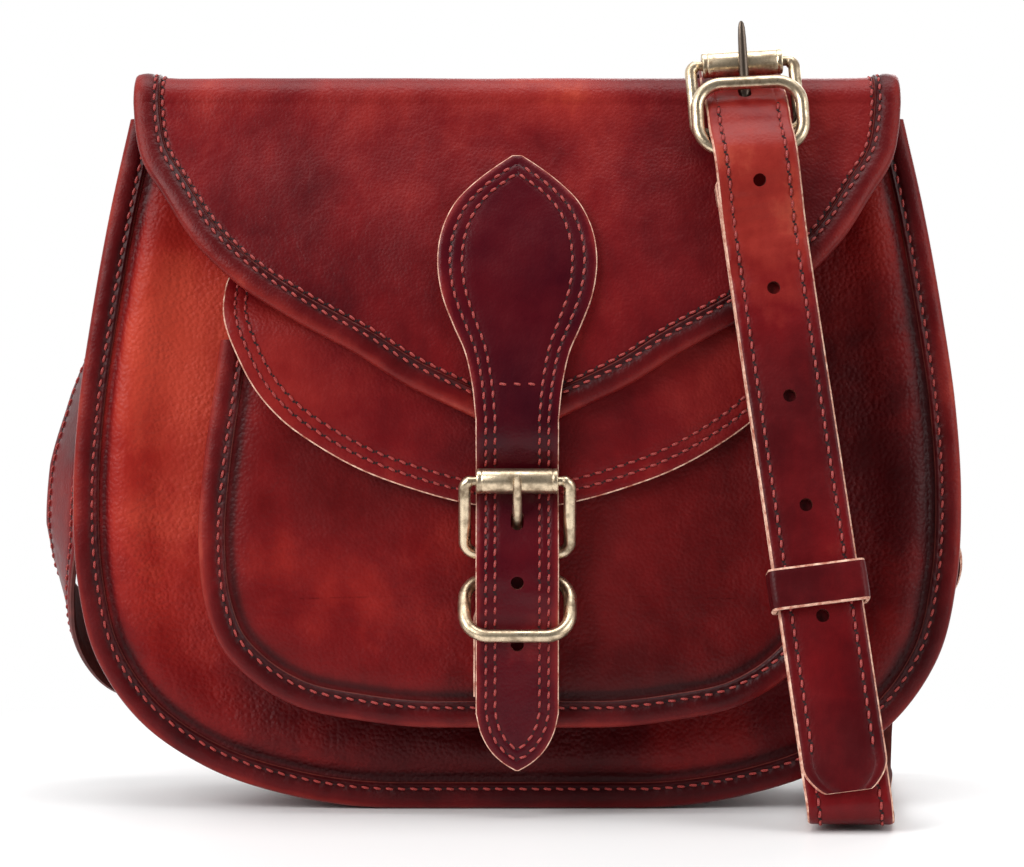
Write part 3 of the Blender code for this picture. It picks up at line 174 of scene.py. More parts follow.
def lengths(points):
    steps = np.linalg.norm(np.diff(np.array(points, float), axis=0), axis=1)
    return np.concatenate([[0], np.cumsum(steps)])


def read_at(at, along, values):
    """A line's values, column by column, at lengths along it."""
    return np.column_stack([np.interp(at, along, values[:, k]) for k in range(values.shape[1])])


def spaced(points, spans):
    """The same line with evenly spaced points."""
    p = np.array(points, float)
    along = lengths(p)
    return read_at(np.linspace(0, along[-1], spans + 1), along, p)


def unit(vectors):
    return vectors / np.maximum(np.linalg.norm(vectors, axis=-1, keepdims=True), 1e-9)


def directions(points):
    return unit(np.gradient(np.array(points, float), axis=0))


def left_of(line):
    """Unit steps to the left of a flat line, as one goes along it."""
    t = directions(line)
    return np.column_stack([-t[:, 1], t[:, 0]])


def rim_path(outline, half_width, base, height, top, spans):
    """A rim's outline from its top left corner round the bottom to the top right one."""
    half = curve_through([(x * half_width, base + z * height) for x, z in outline], 900, start=(1.0, 0.0))
    last = (float(np.interp(top, half[:, 1], half[:, 0])), top)
    half = spaced(np.vstack([half[half[:, 1] < top - 0.0002], last]), spans)
    return np.vstack([half[::-1] * (-1, 1), half])


def inset(path, distance):
    """An outline moved inwards, its ends kept level."""
    inward = left_of(path)
    inward[0], inward[-1] = (1, 0), (-1, 0)
    return path + inward * distance


def ripple(points, size, seed):
    """Smooth noise from -1 to 1 at each point, with features of the given size in metres."""
    flat = np.asarray(points, float).reshape(-1, 3) / size + seed
    values = [noise.noise(Vector(p)) for p in flat]
    return np.array(values).reshape(np.asarray(points).shape[:-1])


def skin(name, points, faces, kinds, finishes, tones):
    """A mesh piece; each face has the finish its kind numbers, each point its tone, which may carry painted
    light and shade.
    """
    mesh = bpy.data.meshes.new(name)
    mesh.from_pydata([tuple(map(float, p)) for p in points], [], [tuple(map(int, f)) for f in faces])
    for material in finishes:
        mesh.materials.append(material)
    mesh.polygons.foreach_set("material_index", kinds)
    tone = mesh.attributes.new("tone", "FLOAT", "POINT")
    tone.data.foreach_set("value", np.asarray(tones, float).ravel())
    bm = bmesh.new()
    bm.from_mesh(mesh)
    bmesh.ops.remove_doubles(bm, verts=bm.verts, dist=0.00001)
    bmesh.ops.dissolve_degenerate(bm, edges=bm.edges, dist=0.000001)
    same = {}
    for face in bm.faces:
        same.setdefault(frozenset(face.verts), []).append(face)
    twins = [face for alike in same.values() if len(alike) > 1 for face in alike]
    bmesh.ops.delete(bm, geom=twins, context="FACES")
    bmesh.ops.recalc_face_normals(bm, faces=bm.faces)
    bm.to_mesh(mesh)
    bm.free()
    mesh.shade_smooth()
    mesh.set_sharp_from_angle(angle=math.radians(38))
    obj = bpy.data.objects.new(name, mesh)
    bpy.context.collection.objects.link(obj)
    return obj


def settle(obj, body, slot, *nodes):
    """Says which body carries a piece and which solids it stands for; its slot is not used."""
    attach(obj, body)
    if nodes:
        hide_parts(*nodes)
    return obj


def at_depth(line, y):
    """A line of (x, z) points in the front view, set at a depth."""
    return np.column_stack([line[:, 0], np.full(len(line), y), line[:, 1]])


def goat_leather(name, colours, grain, pebble, seed, crease=1.0, rough=0.42):
    """Dyed goat leather: mottled by hand rubbing, pebbled at the grain's real size, creased."""
    material, tree = blank_material(name)
    place = add(tree, "ShaderNodeTexCoord")
    moved = add(tree, "ShaderNodeVectorMath", {0: (place, "Object"), 1: (seed, seed, seed)}, operation="ADD")
    tone = add(tree, "ShaderNodeAttribute", attribute_name="tone")
    cloud = add(tree, "ShaderNodeTexNoise", {
        "Vector": (moved, 0), "Scale": 16.0, "Detail": 5.0, "Roughness": 0.55, "Distortion": 0.6})
    blotch = add(tree, "ShaderNodeTexNoise", {
        "Vector": (moved, 0), "Scale": 55.0, "Detail": 6.0, "Roughness": 0.62})
    drawn = add(tree, "ShaderNodeMapping", {"Vector": (moved, 0), "Scale": (1.0, 1.0, 0.28)})
    streak = add(tree, "ShaderNodeTexNoise", {
        "Vector": (drawn, 0), "Scale": 90.0, "Detail": 5.0, "Roughness": 0.6})
    # the piece's tone, which holds painted light and shade as well as its own uneven colour, is broken up by
    # clouds, blotches and streaks and picks the colour
    mix = (tone, "Fac")
    for source, weight in ((cloud, 0.75), (blotch, 0.42), (streak, 0.30)):
        off = add(tree, "ShaderNodeMath", {0: (source, 0), 1: weight, 2: -0.5 * weight},
                  operation="MULTIPLY_ADD")
        mix = (add(tree, "ShaderNodeMath", {0: mix, 1: (off, 0)}, operation="ADD"), 0)
    ramp = add(tree, "ShaderNodeValToRGB", {0: mix})
    stops = ramp.color_ramp.elements
    while len(stops) < len(colours):
        stops.new(0.5)
    for k, (position, colour) in enumerate(colours):
        stops[k].position = position
        stops[k].color = linear(colour)
    # long soft creases lie under the pebbled grain, which is flatter where the hide was rubbed
    folds = add(tree, "ShaderNodeTexNoise", {
        "Vector": (moved, 0), "Scale": 95.0, "Detail": 4.0, "Roughness": 0.55, "Distortion": 1.2},
        noise_type="RIDGED_MULTIFRACTAL")
    low = add(tree, "ShaderNodeBump", {"Height": (folds, 0), "Distance": 0.0005, "Strength": 0.22 * crease})
    bent = add(tree, "ShaderNodeTexNoise", {"Vector": (moved, 0), "Scale": 240.0, "Detail": 2.0})
    pushed = add(tree, "ShaderNodeVectorMath", {
        0: (bent, "Color"), 1: (0.0012, 0.0012, 0.0012), 2: (moved, 0)}, operation="MULTIPLY_ADD")
    cells = add(tree, "ShaderNodeTexVoronoi", {
        "Vector": (pushed, 0), "Scale": 1 / grain, "Smoothness": 0.35}, feature="SMOOTH_F1")
    patchy = add(tree, "ShaderNodeMapRange", {0: (blotch, 0), 1: 0.35, 2: 0.65, 3: 0.35, 4: 1.0})
    tall = add(tree, "ShaderNodeMath", {0: (cells, "Distance"), 1: (patchy, 0)}, operation="MULTIPLY")
    high = add(tree, "ShaderNodeBump", {
        "Height": (tall, 0), "Distance": 0.00035, "Strength": 0.5 * pebble, "Normal": (low, 0)}, invert=True)
    gloss = add(tree, "ShaderNodeMapRange", {0: (blotch, 0), 1: 0.3, 2: 0.7, 3: rough - 0.07, 4: rough + 0.1})
    shader = add(tree, "ShaderNodeBsdfPrincipled", {
        "Base Color": (ramp, 0), "Roughness": (gloss, 0), "IOR": 1.48, "Specular IOR Level": 0.17,
        "Normal": (high, 0)})
    add(tree, "ShaderNodeOutputMaterial", {"Surface": (shader, 0)})
    return material


def two_tone(name, kind, texture, colours, finish, stops=(0.0, 1.0), relief=0.0, **settings):
    """A material that goes from one colour to another with a fine texture, which may raise it too."""
    material, tree = blank_material(name)
    place = add(tree, "ShaderNodeTexCoord")
    fine = add(tree, kind, {"Vector": (place, "Object"), **texture}, **settings)
    ramp = add(tree, "ShaderNodeValToRGB", {0: (fine, "Fac")})
    for stop, position, colour in zip(ramp.color_ramp.elements, stops, colours):
        stop.position, stop.color = position, linear(colour)
    sockets = {"Base Color": (ramp, 0), **finish}
    if relief:
        raised = add(tree, "ShaderNodeBump", {"Height": (fine, "Fac"), "Distance": 0.0003, "Strength": relief})
        sockets["Normal"] = (raised, 0)
    shader = add(tree, "ShaderNodeBsdfPrincipled", sockets)
    add(tree, "ShaderNodeOutputMaterial", {"Surface": (shader, 0)})
    return material


body_reds = ((0.0, "#2c0103"), (0.28, "#460205"), (0.52, "#6e0a0a"), (0.76, "#942018"), (1.0, "#b83e2c"))
panel_leather = goat_leather("waxed goat leather, body panels", body_reds, 0.0013, 1.9, 1.3, crease=1.5)

suede, tree = blank_material("buffed split underside")
# the flesh side of the hide: pale, napped and dull
place = add(tree, "ShaderNodeTexCoord")
nap = add(tree, "ShaderNodeTexNoise", {"Vector": (place, "Object"), "Scale": 700.0, "Detail": 5.0})
dye = add(tree, "ShaderNodeTexNoise", {"Vector": (place, "Object"), "Scale": 40.0, "Detail": 4.0})
ramp = add(tree, "ShaderNodeValToRGB", {0: (dye, 0)})
for stop, position, colour in zip(ramp.color_ramp.elements, (0.3, 0.75), ("#a9745c", "#d3a588")):
    stop.position, stop.color = position, linear(colour)
fuzz = add(tree, "ShaderNodeBump", {"Height": (nap, 0), "Distance": 0.0003, "Strength": 0.5})
shader = add(tree, "ShaderNodeBsdfPrincipled", {
    "Base Color": (ramp, 0), "Roughness": 0.9, "Specular IOR Level": 0.2, "Normal": (fuzz, 0)})
add(tree, "ShaderNodeOutputMaterial", {"Surface": (shader, 0)})

# undyed fibres show along every raw cut, pale cream with a little red bled in
raw_edge = two_tone(
    "raw cut leather edge", "ShaderNodeTexNoise", {"Scale": 330.0, "Detail": 5.0, "Roughness": 0.7},
    ("#a45c4a", "#eec4ac"), {"Roughness": 0.8, "Specular IOR Level": 0.25}, stops=(0.36, 0.64))
# other cuts were dyed and waxed, so they read as a dark line with a slight sheen
dyed_edge = two_tone(
    "dyed and waxed cut edge", "ShaderNodeTexNoise", {"Scale": 220.0, "Detail": 4.0},
    ("#2a0a0c", "#7a2a20"), {"Roughness": 0.55})

# how far the panel's face stands out, against the distance in from its rim
swell_at = (
    0.0, 0.0060, 0.0078, 0.0086, 0.0092, 0.0098, 0.0106, 0.0118, 0.0134, 0.0155, 0.0180, 0.0210, 0.0240, 0.0275)
swell_by = (
    0.0, -0.0001, -0.0002, -0.0002, 0.0001, 0.0005, 0.0010, 0.0016, 0.0021, 0.0023, 0.0020, 0.0013, 0.0005, 0.0)


def light_patches(points, patches, base):
    """Painted light and shade at points seen from the front: soft round patches of (x, z, radius, change)."""
    tone = np.full(len(points), base, float)
    for x, z, radius, change in patches:
        away = np.hypot(points[:, 0] - x, points[:, 2] - z)
        tone += change * np.exp(-(away / radius) ** 2)
    return tone


def pattern(edge, insets, inner=7):
    """A flat grid in a symmetric outline, its outer columns parallel to the edge: (x, s) per point.

    The edge is (half width, length) points from the top down; an inset may differ from row to row."""
    flat_top = abs(edge[0, 0]) > 0.02
    lead = [] if flat_top else [(0.0, edge[0, 1])]
    insets = [np.pad(np.broadcast_to(d, (len(edge),)), (len(lead), 1), mode="edge") for d in insets]
    edge = np.vstack(lead + [edge, (0.0, edge[-1, 1])])
    left = np.column_stack([-edge[:, 0], edge[:, 1]])
    n = -left_of(left)
    if flat_top:
        n[0] = (1, 0)
    columns = [left]
    for d in insets:
        columns.append(left + n * np.reshape(np.broadcast_to(d, (len(left),)), (-1, 1)))
    deep = np.broadcast_to(insets[-1], (len(left),)) + 0.004
    reach = np.minimum(np.where(n[:, 0] > 0.05, -left[:, 0] / np.maximum(n[:, 0], 0.05), 1.0), deep)
    middle_s = left[:, 1] + n[:, 1] * reach
    middle_s = np.maximum.accumulate(middle_s)
    last = columns[-1]
    for k in range(1, inner + 1):
        share = k / inner
        columns.append(np.column_stack([last[:, 0] * (1 - share), last[:, 1] * (1 - share) + middle_s * share]))
    grid = np.stack(columns, axis=1)
    over = grid[:, :, 0] > 0
    grid[:, :, 0][over] = 0
    mirrored = grid[:, -2::-1] * (-1, 1)
    return np.concatenate([grid, mirrored], axis=1)


def slab(name, rows, thick, out, finishes, tones, up=None, band=0):
    """A sheet over a grid of points, its flesh side a thickness below; out picks the grid's outer side.

    Its cut edge may show on a band of outer columns; up says which way is out for a nearly flat grid."""
    rows = np.asarray(rows, float)
    m, n = rows.shape[:2]
    both_slopes = np.gradient(rows, axis=0), np.gradient(rows, axis=1)
    normal = unit(np.cross(*both_slopes) * out) if up is None else np.array(up)
    under = rows - normal * thick
    grid = np.arange(m * n).reshape(m, n)
    a, b, c, d = grid[:-1, :-1].ravel(), grid[:-1, 1:].ravel(), grid[1:, 1:].ravel(), grid[1:, :-1].ravel()
    faces = list(zip(a, b, c, d)) + list(zip(a + m * n, d + m * n, c + m * n, b + m * n))
    face_kinds = np.zeros((m - 1, n - 1), int)
    face_kinds[:, :band] = face_kinds[:, n - 1 - band:] = 1
    kinds = list(face_kinds.ravel()) + [2] * len(a)
    line = list(grid[0]) + list(grid[1:, -1]) + list(grid[-1, -2::-1]) + list(grid[-2:0:-1, 0])
    for p, q in zip(line, line[1:] + line[:1]):
        faces.append((p, p + m * n, q + m * n, q))
        kinds.append(1)
    both = np.vstack([rows.reshape(-1, 3), under.reshape(-1, 3)])
    # a symmetric grid's halves meet on the middle line, with no faces inside it
    kept = np.abs(both[np.array(faces), 0]).max(axis=1) > 1e-7
    faces, kinds = [faces[k] for k in np.flatnonzero(kept)], [kinds[k] for k in np.flatnonzero(kept)]
    tones = np.broadcast_to(tones, (m, n)).ravel()
    return skin(name, both, faces, kinds, finishes, np.concatenate([tones, tones]))


def rimmed_panel(name, leather, path, face_y, out, thick, patches, base, puff):
    """A flat panel that swells inside its rim seam; out is -1 for the front and 1 for the back."""
    half = path[:len(path) // 2]
    level = np.column_stack([np.linspace(half[-1, 0], -0.0010, 30), np.full(30, half[-1, 1])])
    half = np.vstack([half, level[1:]])
    flat = pattern(np.column_stack([-half[:, 0], mouth - half[:, 1]]), swell_at[1:], 22)
    count = len(swell_at)
    columns = flat.shape[1]
    inner = np.concatenate([swell_by, np.zeros(23)])[:columns // 2 + 1] * puff
    rise = np.concatenate([inner, inner[-2::-1]])
    # painted shade darkens the furrow just inside the binding, where the seam sinks the panel
    seam_in, seam_wide = 0.0088, 0.0014
    furrow = -0.42 * np.exp(-((np.array(swell_at) - seam_in) / seam_wide) ** 2)
    dark = np.zeros(columns)
    dark[:count], dark[-count:] = furrow, furrow[::-1]
    rows = np.stack([flat[:, :, 0], np.zeros(flat.shape[:2]), mouth - flat[:, :, 1]], axis=2)
    # the swell is uneven and fades to nothing at the mouth, where the panel lies flat
    lumps = 1 + 0.45 * ripple(rows, 0.035, 4.2) + 0.2 * ripple(rows, 0.012, 9.1)
    fade = np.clip((mouth - rows[:, :, 2]) / 0.03, 0, 1)
    inside = np.clip((np.minimum(np.arange(columns), np.arange(columns)[::-1]) - 4) / 8, 0, 1)
    soft = 0.0006 * ripple(rows, 0.045, 2.6) + 0.00025 * ripple(rows * (1.6, 1, 0.7), 0.014, 6.1)
    rows[:, :, 1] = face_y + out * (rise[None, :] * lumps + soft * inside[None, :] * puff) * fade
    tones = light_patches(rows.reshape(-1, 3), patches, base).reshape(rows.shape[:2]) + dark[None, :]
    return slab(name, rows, thick, -out, [leather, dyed_edge, suede], tones, up=(0, out, 0))


rim = rim_path(rim_outline, *body_size, mouth, 150)
turn_in, half_stack, panel_thick = 0.0013, 0.00165, 0.0016
# painted light and shade on the front panel: lighter up the left side, where the key light falls, and darker at
# the bottom, near the table
front_lights = (
    (-0.118, 0.120, 0.034, 0.40), (-0.108, 0.162, 0.030, 0.44), (-0.114, 0.070, 0.026, 0.22),
    (0.122, 0.182, 0.020, 0.26), (0.122, 0.110, 0.045, -0.16), (0.0, 0.012, 0.060, -0.24),
    (-0.085, 0.030, 0.028, -0.05), (0.105, 0.050, 0.030, -0.12),
)
front = rimmed_panel(
    "front_panel_leather", panel_leather, inset(rim, turn_in), -half_stack, -1, panel_thick,
    front_lights, 0.45, 1.0)
settle(front, "bag", "red leather", "front_panel")
# painted light and shade on the back panel: lighter above, darker at the bottom, near the table
back_lights = ((-0.06, 0.13, 0.05, 0.20), (0.07, 0.06, 0.05, 0.10), (0.0, 0.02, 0.06, -0.15))
back = rimmed_panel(
    "back_panel_leather", panel_leather, inset(rim, turn_in), body_depth + half_stack, 1, panel_thick,
    back_lights, 0.46, 1.0)
settle(back, "bag", "red leather", "back_panel")


# Gusset: one long strip of the same leather round the sides and bottom, its edges turned out and sewn
# into both rims. Between them it sags and creases, most where the bag bends at its lower corners.
def loft(name, rows, kinds, finishes, tones, ring=False):
    """A closed skin over rows of as many points each, capped at its ends or joined into a ring."""
    rows = np.asarray(rows, float)
    m, n = rows.shape[:2]
    faces, marks = [], []
    for i in range(m if ring else m - 1):
        a, b = i * n, (i + 1) % m * n
        for j in range(n):
            k = (j + 1) % n
            faces.append((a + j, a + k, b + k, b + j))
            marks.append(kinds[j])
    if not ring:
        faces += [tuple(range(n)), tuple(range((m - 1) * n, m * n))]
        marks += [min(1, len(finishes) - 1)] * 2
    return skin(name, rows.reshape(-1, 3), faces, marks, finishes, np.broadcast_to(tones, (m, n)))


def sagging(path, y, depth, room):
    """How far a side wall between two rims has sunk in, at heights and depths."""
    across = np.sin(np.pi * np.clip(y / depth, 0, 1)) ** 0.8
    free = np.clip((room - path[:, 1]) / 0.05, 0, 1)[:, None]
    place = np.stack(np.broadcast_arrays(path[:, :1], y[None, :] * 0.25, path[:, 1:]), axis=2)
    folds = ripple(place, 0.016, 3.7)
    return across[None, :] * (0.0022 * free + 0.0009 * free * folds + 0.0002)


fine_rim = rim_path(rim_outline, *body_size, mouth, 300)
turned = [(0.0014, 0.00170), (0.0040, 0.00172), (0.0066, 0.0019), (0.0078, 0.0026), (0.0085, 0.0042)]
web = [(0.0086, y) for y in np.linspace(0.0065, body_depth - 0.0065, 15)]
gusset_section = turned + web + [(n, body_depth - y) for n, y in reversed(turned)]
depths = np.array([y for _, y in gusset_section])
sag = sagging(fine_rim, np.clip(depths - 0.004, 0, None), body_depth - 0.008, 0.170)
inward = left_of(fine_rim)
inward[0] = inward[-1] = 0
rows = np.stack([
    at_depth(inset(fine_rim, n) + inward * sag[:, j:j + 1], y)
    for j, (n, y) in enumerate(gusset_section)], axis=1)
# painted shade: the gusset darkens towards the bottom, near the table, over its own uneven tone
gusset_tone = 0.42 + 0.12 * ripple(rows, 0.05, 2.2) - 0.10 * np.exp(-(rows[:, :, 2] / 0.03) ** 2)
gusset = slab("gusset_leather", rows, 0.0014, -1, [panel_leather, dyed_edge, suede], gusset_tone)
settle(gusset, "bag", "red leather", "gusset")

# Rim bindings: a strip of thinner leather turned over both edges and sewn through with waxed thread. The row of
# stitches pulls a furrow in it, which has painted shade, and its fold has a painted highlight.
binding_reds = ((0.0, "#260104"), (0.30, "#380306"), (0.56, "#58090c"), (0.80, "#80201b"), (1.0, "#ac4636"))
binding_leather = goat_leather("rubbed binding leather", binding_reds, 0.0009, 0.7, 5.1, rough=0.38)

# twisted two-ply thread, its lay drawn as fine slanting bands
thread_wax = two_tone(
    "waxed linen thread", "ShaderNodeTexWave", {"Scale": 900.0, "Distortion": 1.0},
    ("#741a1a", "#ad3a32"), {"Roughness": 0.55}, bands_direction="DIAGONAL")

needle_hole_shade, tree = blank_material("needle hole painted shade")
# a dark disc of painted shade at each end of a stitch, standing for the hole that the needle left
shader = add(tree, "ShaderNodeBsdfPrincipled", {"Base Color": linear("#200507"), "Roughness": 0.9})
add(tree, "ShaderNodeOutputMaterial", {"Surface": (shader, 0)})


def sew(name, lines, pitch=0.0038, length=0.0026, radius=0.00043, slant=9.0, finishes=None):
    """Stitches along lines of (points, normals): a raised thread between two dark discs each, painted shade for
    its needle holes.
    """
    # a stitch's share of its length, share of its radius and lift in mm, for a radius of 0.36 mm
    cap = ((-0.5, 0.15, -0.30), (-0.43, 0.75, 0.06), (-0.2, 1.0, 0.22), (0.2, 1.0, 0.22), (0.43, 0.75, 0.06),
           (0.5, 0.15, -0.30))
    turn = np.arange(6) * math.pi / 3
    pin = np.arange(8) * math.pi / 4
    verts, faces, kinds, total = [], [], [], 0
    for points, normals in lines:
        points, normals = np.asarray(points, float), np.asarray(normals, float)
        along = lengths(points)
        count = max(int(along[-1] / pitch), 1)
        at = (np.arange(count) + 0.5) * along[-1] / count
        centre, up = read_at(at, along, points), read_at(at, along, normals)
        run = unit(read_at(at + 0.0008, along, points) - read_at(at - 0.0008, along, points))
        up = unit(up - run * (up * run).sum(axis=1, keepdims=True))
        side = np.cross(run, up)
        lean = math.radians(slant)
        way = run * math.cos(lean) + side * math.sin(lean)
        wide = np.cross(way, up)
        for k in range(count):
            for share, thick, lift in cap:
                base = centre[k] + way[k] * share * length + up[k] * (lift * 0.001 * radius / 0.00036)
                high, broad = np.outer(np.cos(turn), up[k]), np.outer(np.sin(turn), wide[k])
                verts.append(base + high * radius * thick + broad * radius * thick)
            for r in range(5):
                for j in range(6):
                    a = total + r * 6
                    faces.append((a + j, a + (j + 1) % 6, a + 6 + (j + 1) % 6, a + 6 + j))
                    kinds.append(0)
            faces += [tuple(range(total, total + 6)), tuple(range(total + 30, total + 36))]
            kinds += [0, 0]
            total += 36
            for end in (-1, 1):
                spot = centre[k] + way[k] * end * (length / 2 + 0.0001) + up[k] * 0.00004
                long, broad = np.outer(np.cos(pin), way[k]), np.outer(np.sin(pin), wide[k])
                for depth in (0.0, -0.0003):
                    verts.append(spot + up[k] * depth + long * 0.00052 + broad * 0.00044)
                faces += [tuple(range(total, total + 8)), tuple(range(total + 8, total + 16))]
                faces += [(total + j, total + (j + 1) % 8, total + 8 + (j + 1) % 8, total + 8 + j)
                          for j in range(8)]
                kinds += [1] * 10
                total += 16
    mesh = bpy.data.meshes.new(name)
    mesh.from_pydata(np.vstack(verts).tolist(), [], faces)
    for material in finishes or (thread_wax, needle_hole_shade):
        mesh.materials.append(material)
    mesh.polygons.foreach_set("material_index", kinds)
    bm = bmesh.new()
    bm.from_mesh(mesh)
    bmesh.ops.recalc_face_normals(bm, faces=bm.faces)
    bm.to_mesh(mesh)
    bm.free()
    mesh.shade_smooth()
    mesh.set_sharp_from_angle(angle=math.radians(50))
    obj = bpy.data.objects.new(name, mesh)
    bpy.context.collection.objects.link(obj)
    return obj


def turned_over(stack, width, row):
    """A binding's section, from one skived edge over the fold to the other: (distance in, height)."""
    base = stack / 2
    one = [
        (width, base + 0.00035), (width - 0.0003, base + 0.0008), (row + 0.0011, base + 0.00125),
        (row + 0.0006, base + 0.0011), (row, base + 0.0008), (row - 0.0006, base + 0.0011),
        (row - 0.0014, base + 0.00145), (row - 0.0028, base + 0.0016), (row - 0.0042, base + 0.00145),
        (0.0011, base + 0.0011), (0.0004, base + 0.0005), (0.00005, base * 0.45),
    ]
    section = [(n, -d) for n, d in one] + [(n, d) for n, d in reversed(one)]
    kinds = [0] * len(section)
    kinds[0] = kinds[len(section) - 2] = 1
    return section, kinds


def bound_rim(name, path, middle, stack, width, row, node, patches, base):
    """A binding over a flat rim, with its two rows of stitches as a second piece."""
    section, kinds = turned_over(stack, width, row)
    rows = np.empty((len(path), len(section), 3))
    tones = np.empty((len(path), len(section)))
    along = lengths(path)
    pull = 0.5 + 0.5 * np.cos(2 * np.pi * along / 0.0038)
    for j, (n, d) in enumerate(section):
        line = inset(path, n)
        near = math.exp(-((n - row) / 0.0012) ** 2)
        points = at_depth(line, 0.0)
        puff = 0.00016 * ripple(points, 0.0045, j * 0.13) - 0.00022 * near * pull
        points[:, 1] = middle + d + np.sign(d) * puff * (1 if n > 0.0005 else 0)
        rows[:, j] = points
        # painted highlight along the fold, painted shade along the stitch row and where the binding's edge
        # meets the panel
        fold_highlight, edge_shade = math.exp(-((n - 0.0006) / 0.0016) ** 2), math.exp(-((n - width) / 0.0007) ** 2)
        fold_light_and_seam_shade = 0.30 * fold_highlight - 0.22 * near - 0.25 * edge_shade
        tones[:, j] = light_patches(points, patches, base) + fold_light_and_seam_shade
    piece = loft(name, rows, kinds, [binding_leather, dyed_edge], tones)
    settle(piece, "bag", "dark binding", node)
    line = inset(path, row)
    lines = []
    for face in (-1, 1):
        surface = at_depth(line, middle + face * (stack / 2 + 0.00072))
        normal = np.tile((0.0, float(face), 0.0), (len(line), 1))
        lines.append((surface[2:-2], normal[2:-2]))
    thread = sew(name + "_thread", lines)
    settle(thread, "bag", "dark binding")


# painted light and shade on the rim bindings: lighter up both sides, darker at the bottom, near the table
rim_lights = ((-0.13, 0.12, 0.05, 0.15), (0.13, 0.14, 0.05, 0.10), (0.0, 0.0, 0.09, -0.10),
              (-0.06, 0.01, 0.03, 0.08))
wide_rim = rim_path(rim_outline, *body_size, body_height, 620)
low_rim = rim_path(rim_outline, *body_size, mouth, 620)
strip_width, rim_row = 0.0084, 0.0063
bound_rim("front_rim_binding", wide_rim, 0.0, 0.0033, strip_width, rim_row, "front_binding", rim_lights, 0.42)
bound_rim("back_rim_binding", low_rim, body_depth, 0.0033, strip_width, rim_row,
          "back_binding", rim_lights, 0.42)

# Lining: a bag of plain brown cotton sewn in at the mouth. Its front and back walls are flat, and its
# side wall lies against the gusset and sinks in with it.
cotton, tree = blank_material("plain woven cotton lining")
# an over-under weave, drawn about three times coarser than the real 0.5 mm yarns so that it shows
place = add(tree, "ShaderNodeTexCoord")
yarn = {"Vector": (place, "Object"), "Scale": 320.0, "Distortion": 0.4}
warp = add(tree, "ShaderNodeTexWave", yarn, bands_direction="X")
weft = add(tree, "ShaderNodeTexWave", yarn, bands_direction="Z")
cross = add(tree, "ShaderNodeMath", {0: (warp, "Fac"), 1: (weft, "Fac")}, operation="MULTIPLY")
ramp = add(tree, "ShaderNodeValToRGB", {0: (cross, 0)})
ramp.color_ramp.elements[0].color, ramp.color_ramp.elements[1].color = linear("#54392a"), linear("#8a6548")
relief = add(tree, "ShaderNodeBump", {"Height": (cross, 0), "Distance": 0.0003, "Strength": 0.5})
shader = add(tree, "ShaderNodeBsdfPrincipled", {
    "Base Color": (ramp, 0), "Roughness": 0.9, "Specular IOR Level": 0.2, "Normal": (relief, 0)})
add(tree, "ShaderNodeOutputMaterial", {"Surface": (shader, 0)})


def plate(name, outline, y_from, y_to, finish):
    """A flat piece with the given front view, between two depths."""
    return loft(name, [at_depth(outline, y) for y in (y_from, y_to)], [0] * len(outline), [finish], 0.4)


bag_line = inset(fine_rim, 0.0104)
wall_y = 0.0738
rows = []
for y in np.linspace(0.0008, wall_y, 16):
    # the cloth sinks in with the gusset behind it, read from the web's own columns
    column = np.interp(y, depths[4:-4], np.arange(len(depths) - 8)) + 4
    low = int(min(math.floor(column), sag.shape[1] - 2))
    sunk = sag[:, low] * (1 - (column - low)) + sag[:, low + 1] * (column - low)
    rows.append(at_depth(bag_line + inward * sunk[:, None], y))
lining = slab("lining_side", np.stack(rows, axis=1), 0.0008, 1, [cotton, cotton, cotton], 0.5)
settle(lining, "bag", "cotton lining", "lining")
settle(plate("lining_front", bag_line, 0.0004, 0.0012, cotton), "bag", "cotton lining")
settle(plate("lining_back", bag_line, wall_y - 0.001, wall_y, cotton), "bag", "cotton lining")

# Inner pocket: a flat bag of the lining's cotton behind its back wall. A nylon coil zip on black tape is
# sewn on the wall in front of it.
# black polyester tape in a fine slanting weave, dull and not quite black
zip_tape = two_tone(
    "woven zip tape", "ShaderNodeTexWave", {"Scale": 500.0},
    ("#0d0c0c", "#2a2725"), {"Roughness": 0.8}, bands_direction="DIAGONAL")
zip_y, zip_z, zip_half = 0.0712, 0.168, 0.075
tape = np.array([
    (-zip_half, zip_z - 0.012), (zip_half, zip_z - 0.012), (zip_half, zip_z + 0.012),
    (-zip_half, zip_z + 0.012)])
pocket_bag = tape + np.array([(0, -0.062), (0, -0.062), (0, 0), (0, 0)])
settle(plate("inner_pocket_bag", pocket_bag, 0.0744, 0.0760, cotton), "bag", "cotton lining", "inner_pocket")
settle(plate("zip_tape_cloth", tape, zip_y + 0.0007, zip_y + 0.0013, zip_tape), "bag", "zip tape", "inner_zip")
coil = at_depth(np.column_stack([np.linspace(-0.073, 0.073, 200), np.full(200, zip_z)]), zip_y + 0.0006)
coil_turns = sew(
    "zip_coil", [(coil, np.tile((0.0, -1.0, 0.0), (200, 1)))], 0.0013, 0.0042, 0.00045, 90.0,
    (zip_tape, zip_tape))
settle(coil_turns, "bag", "zip tape")

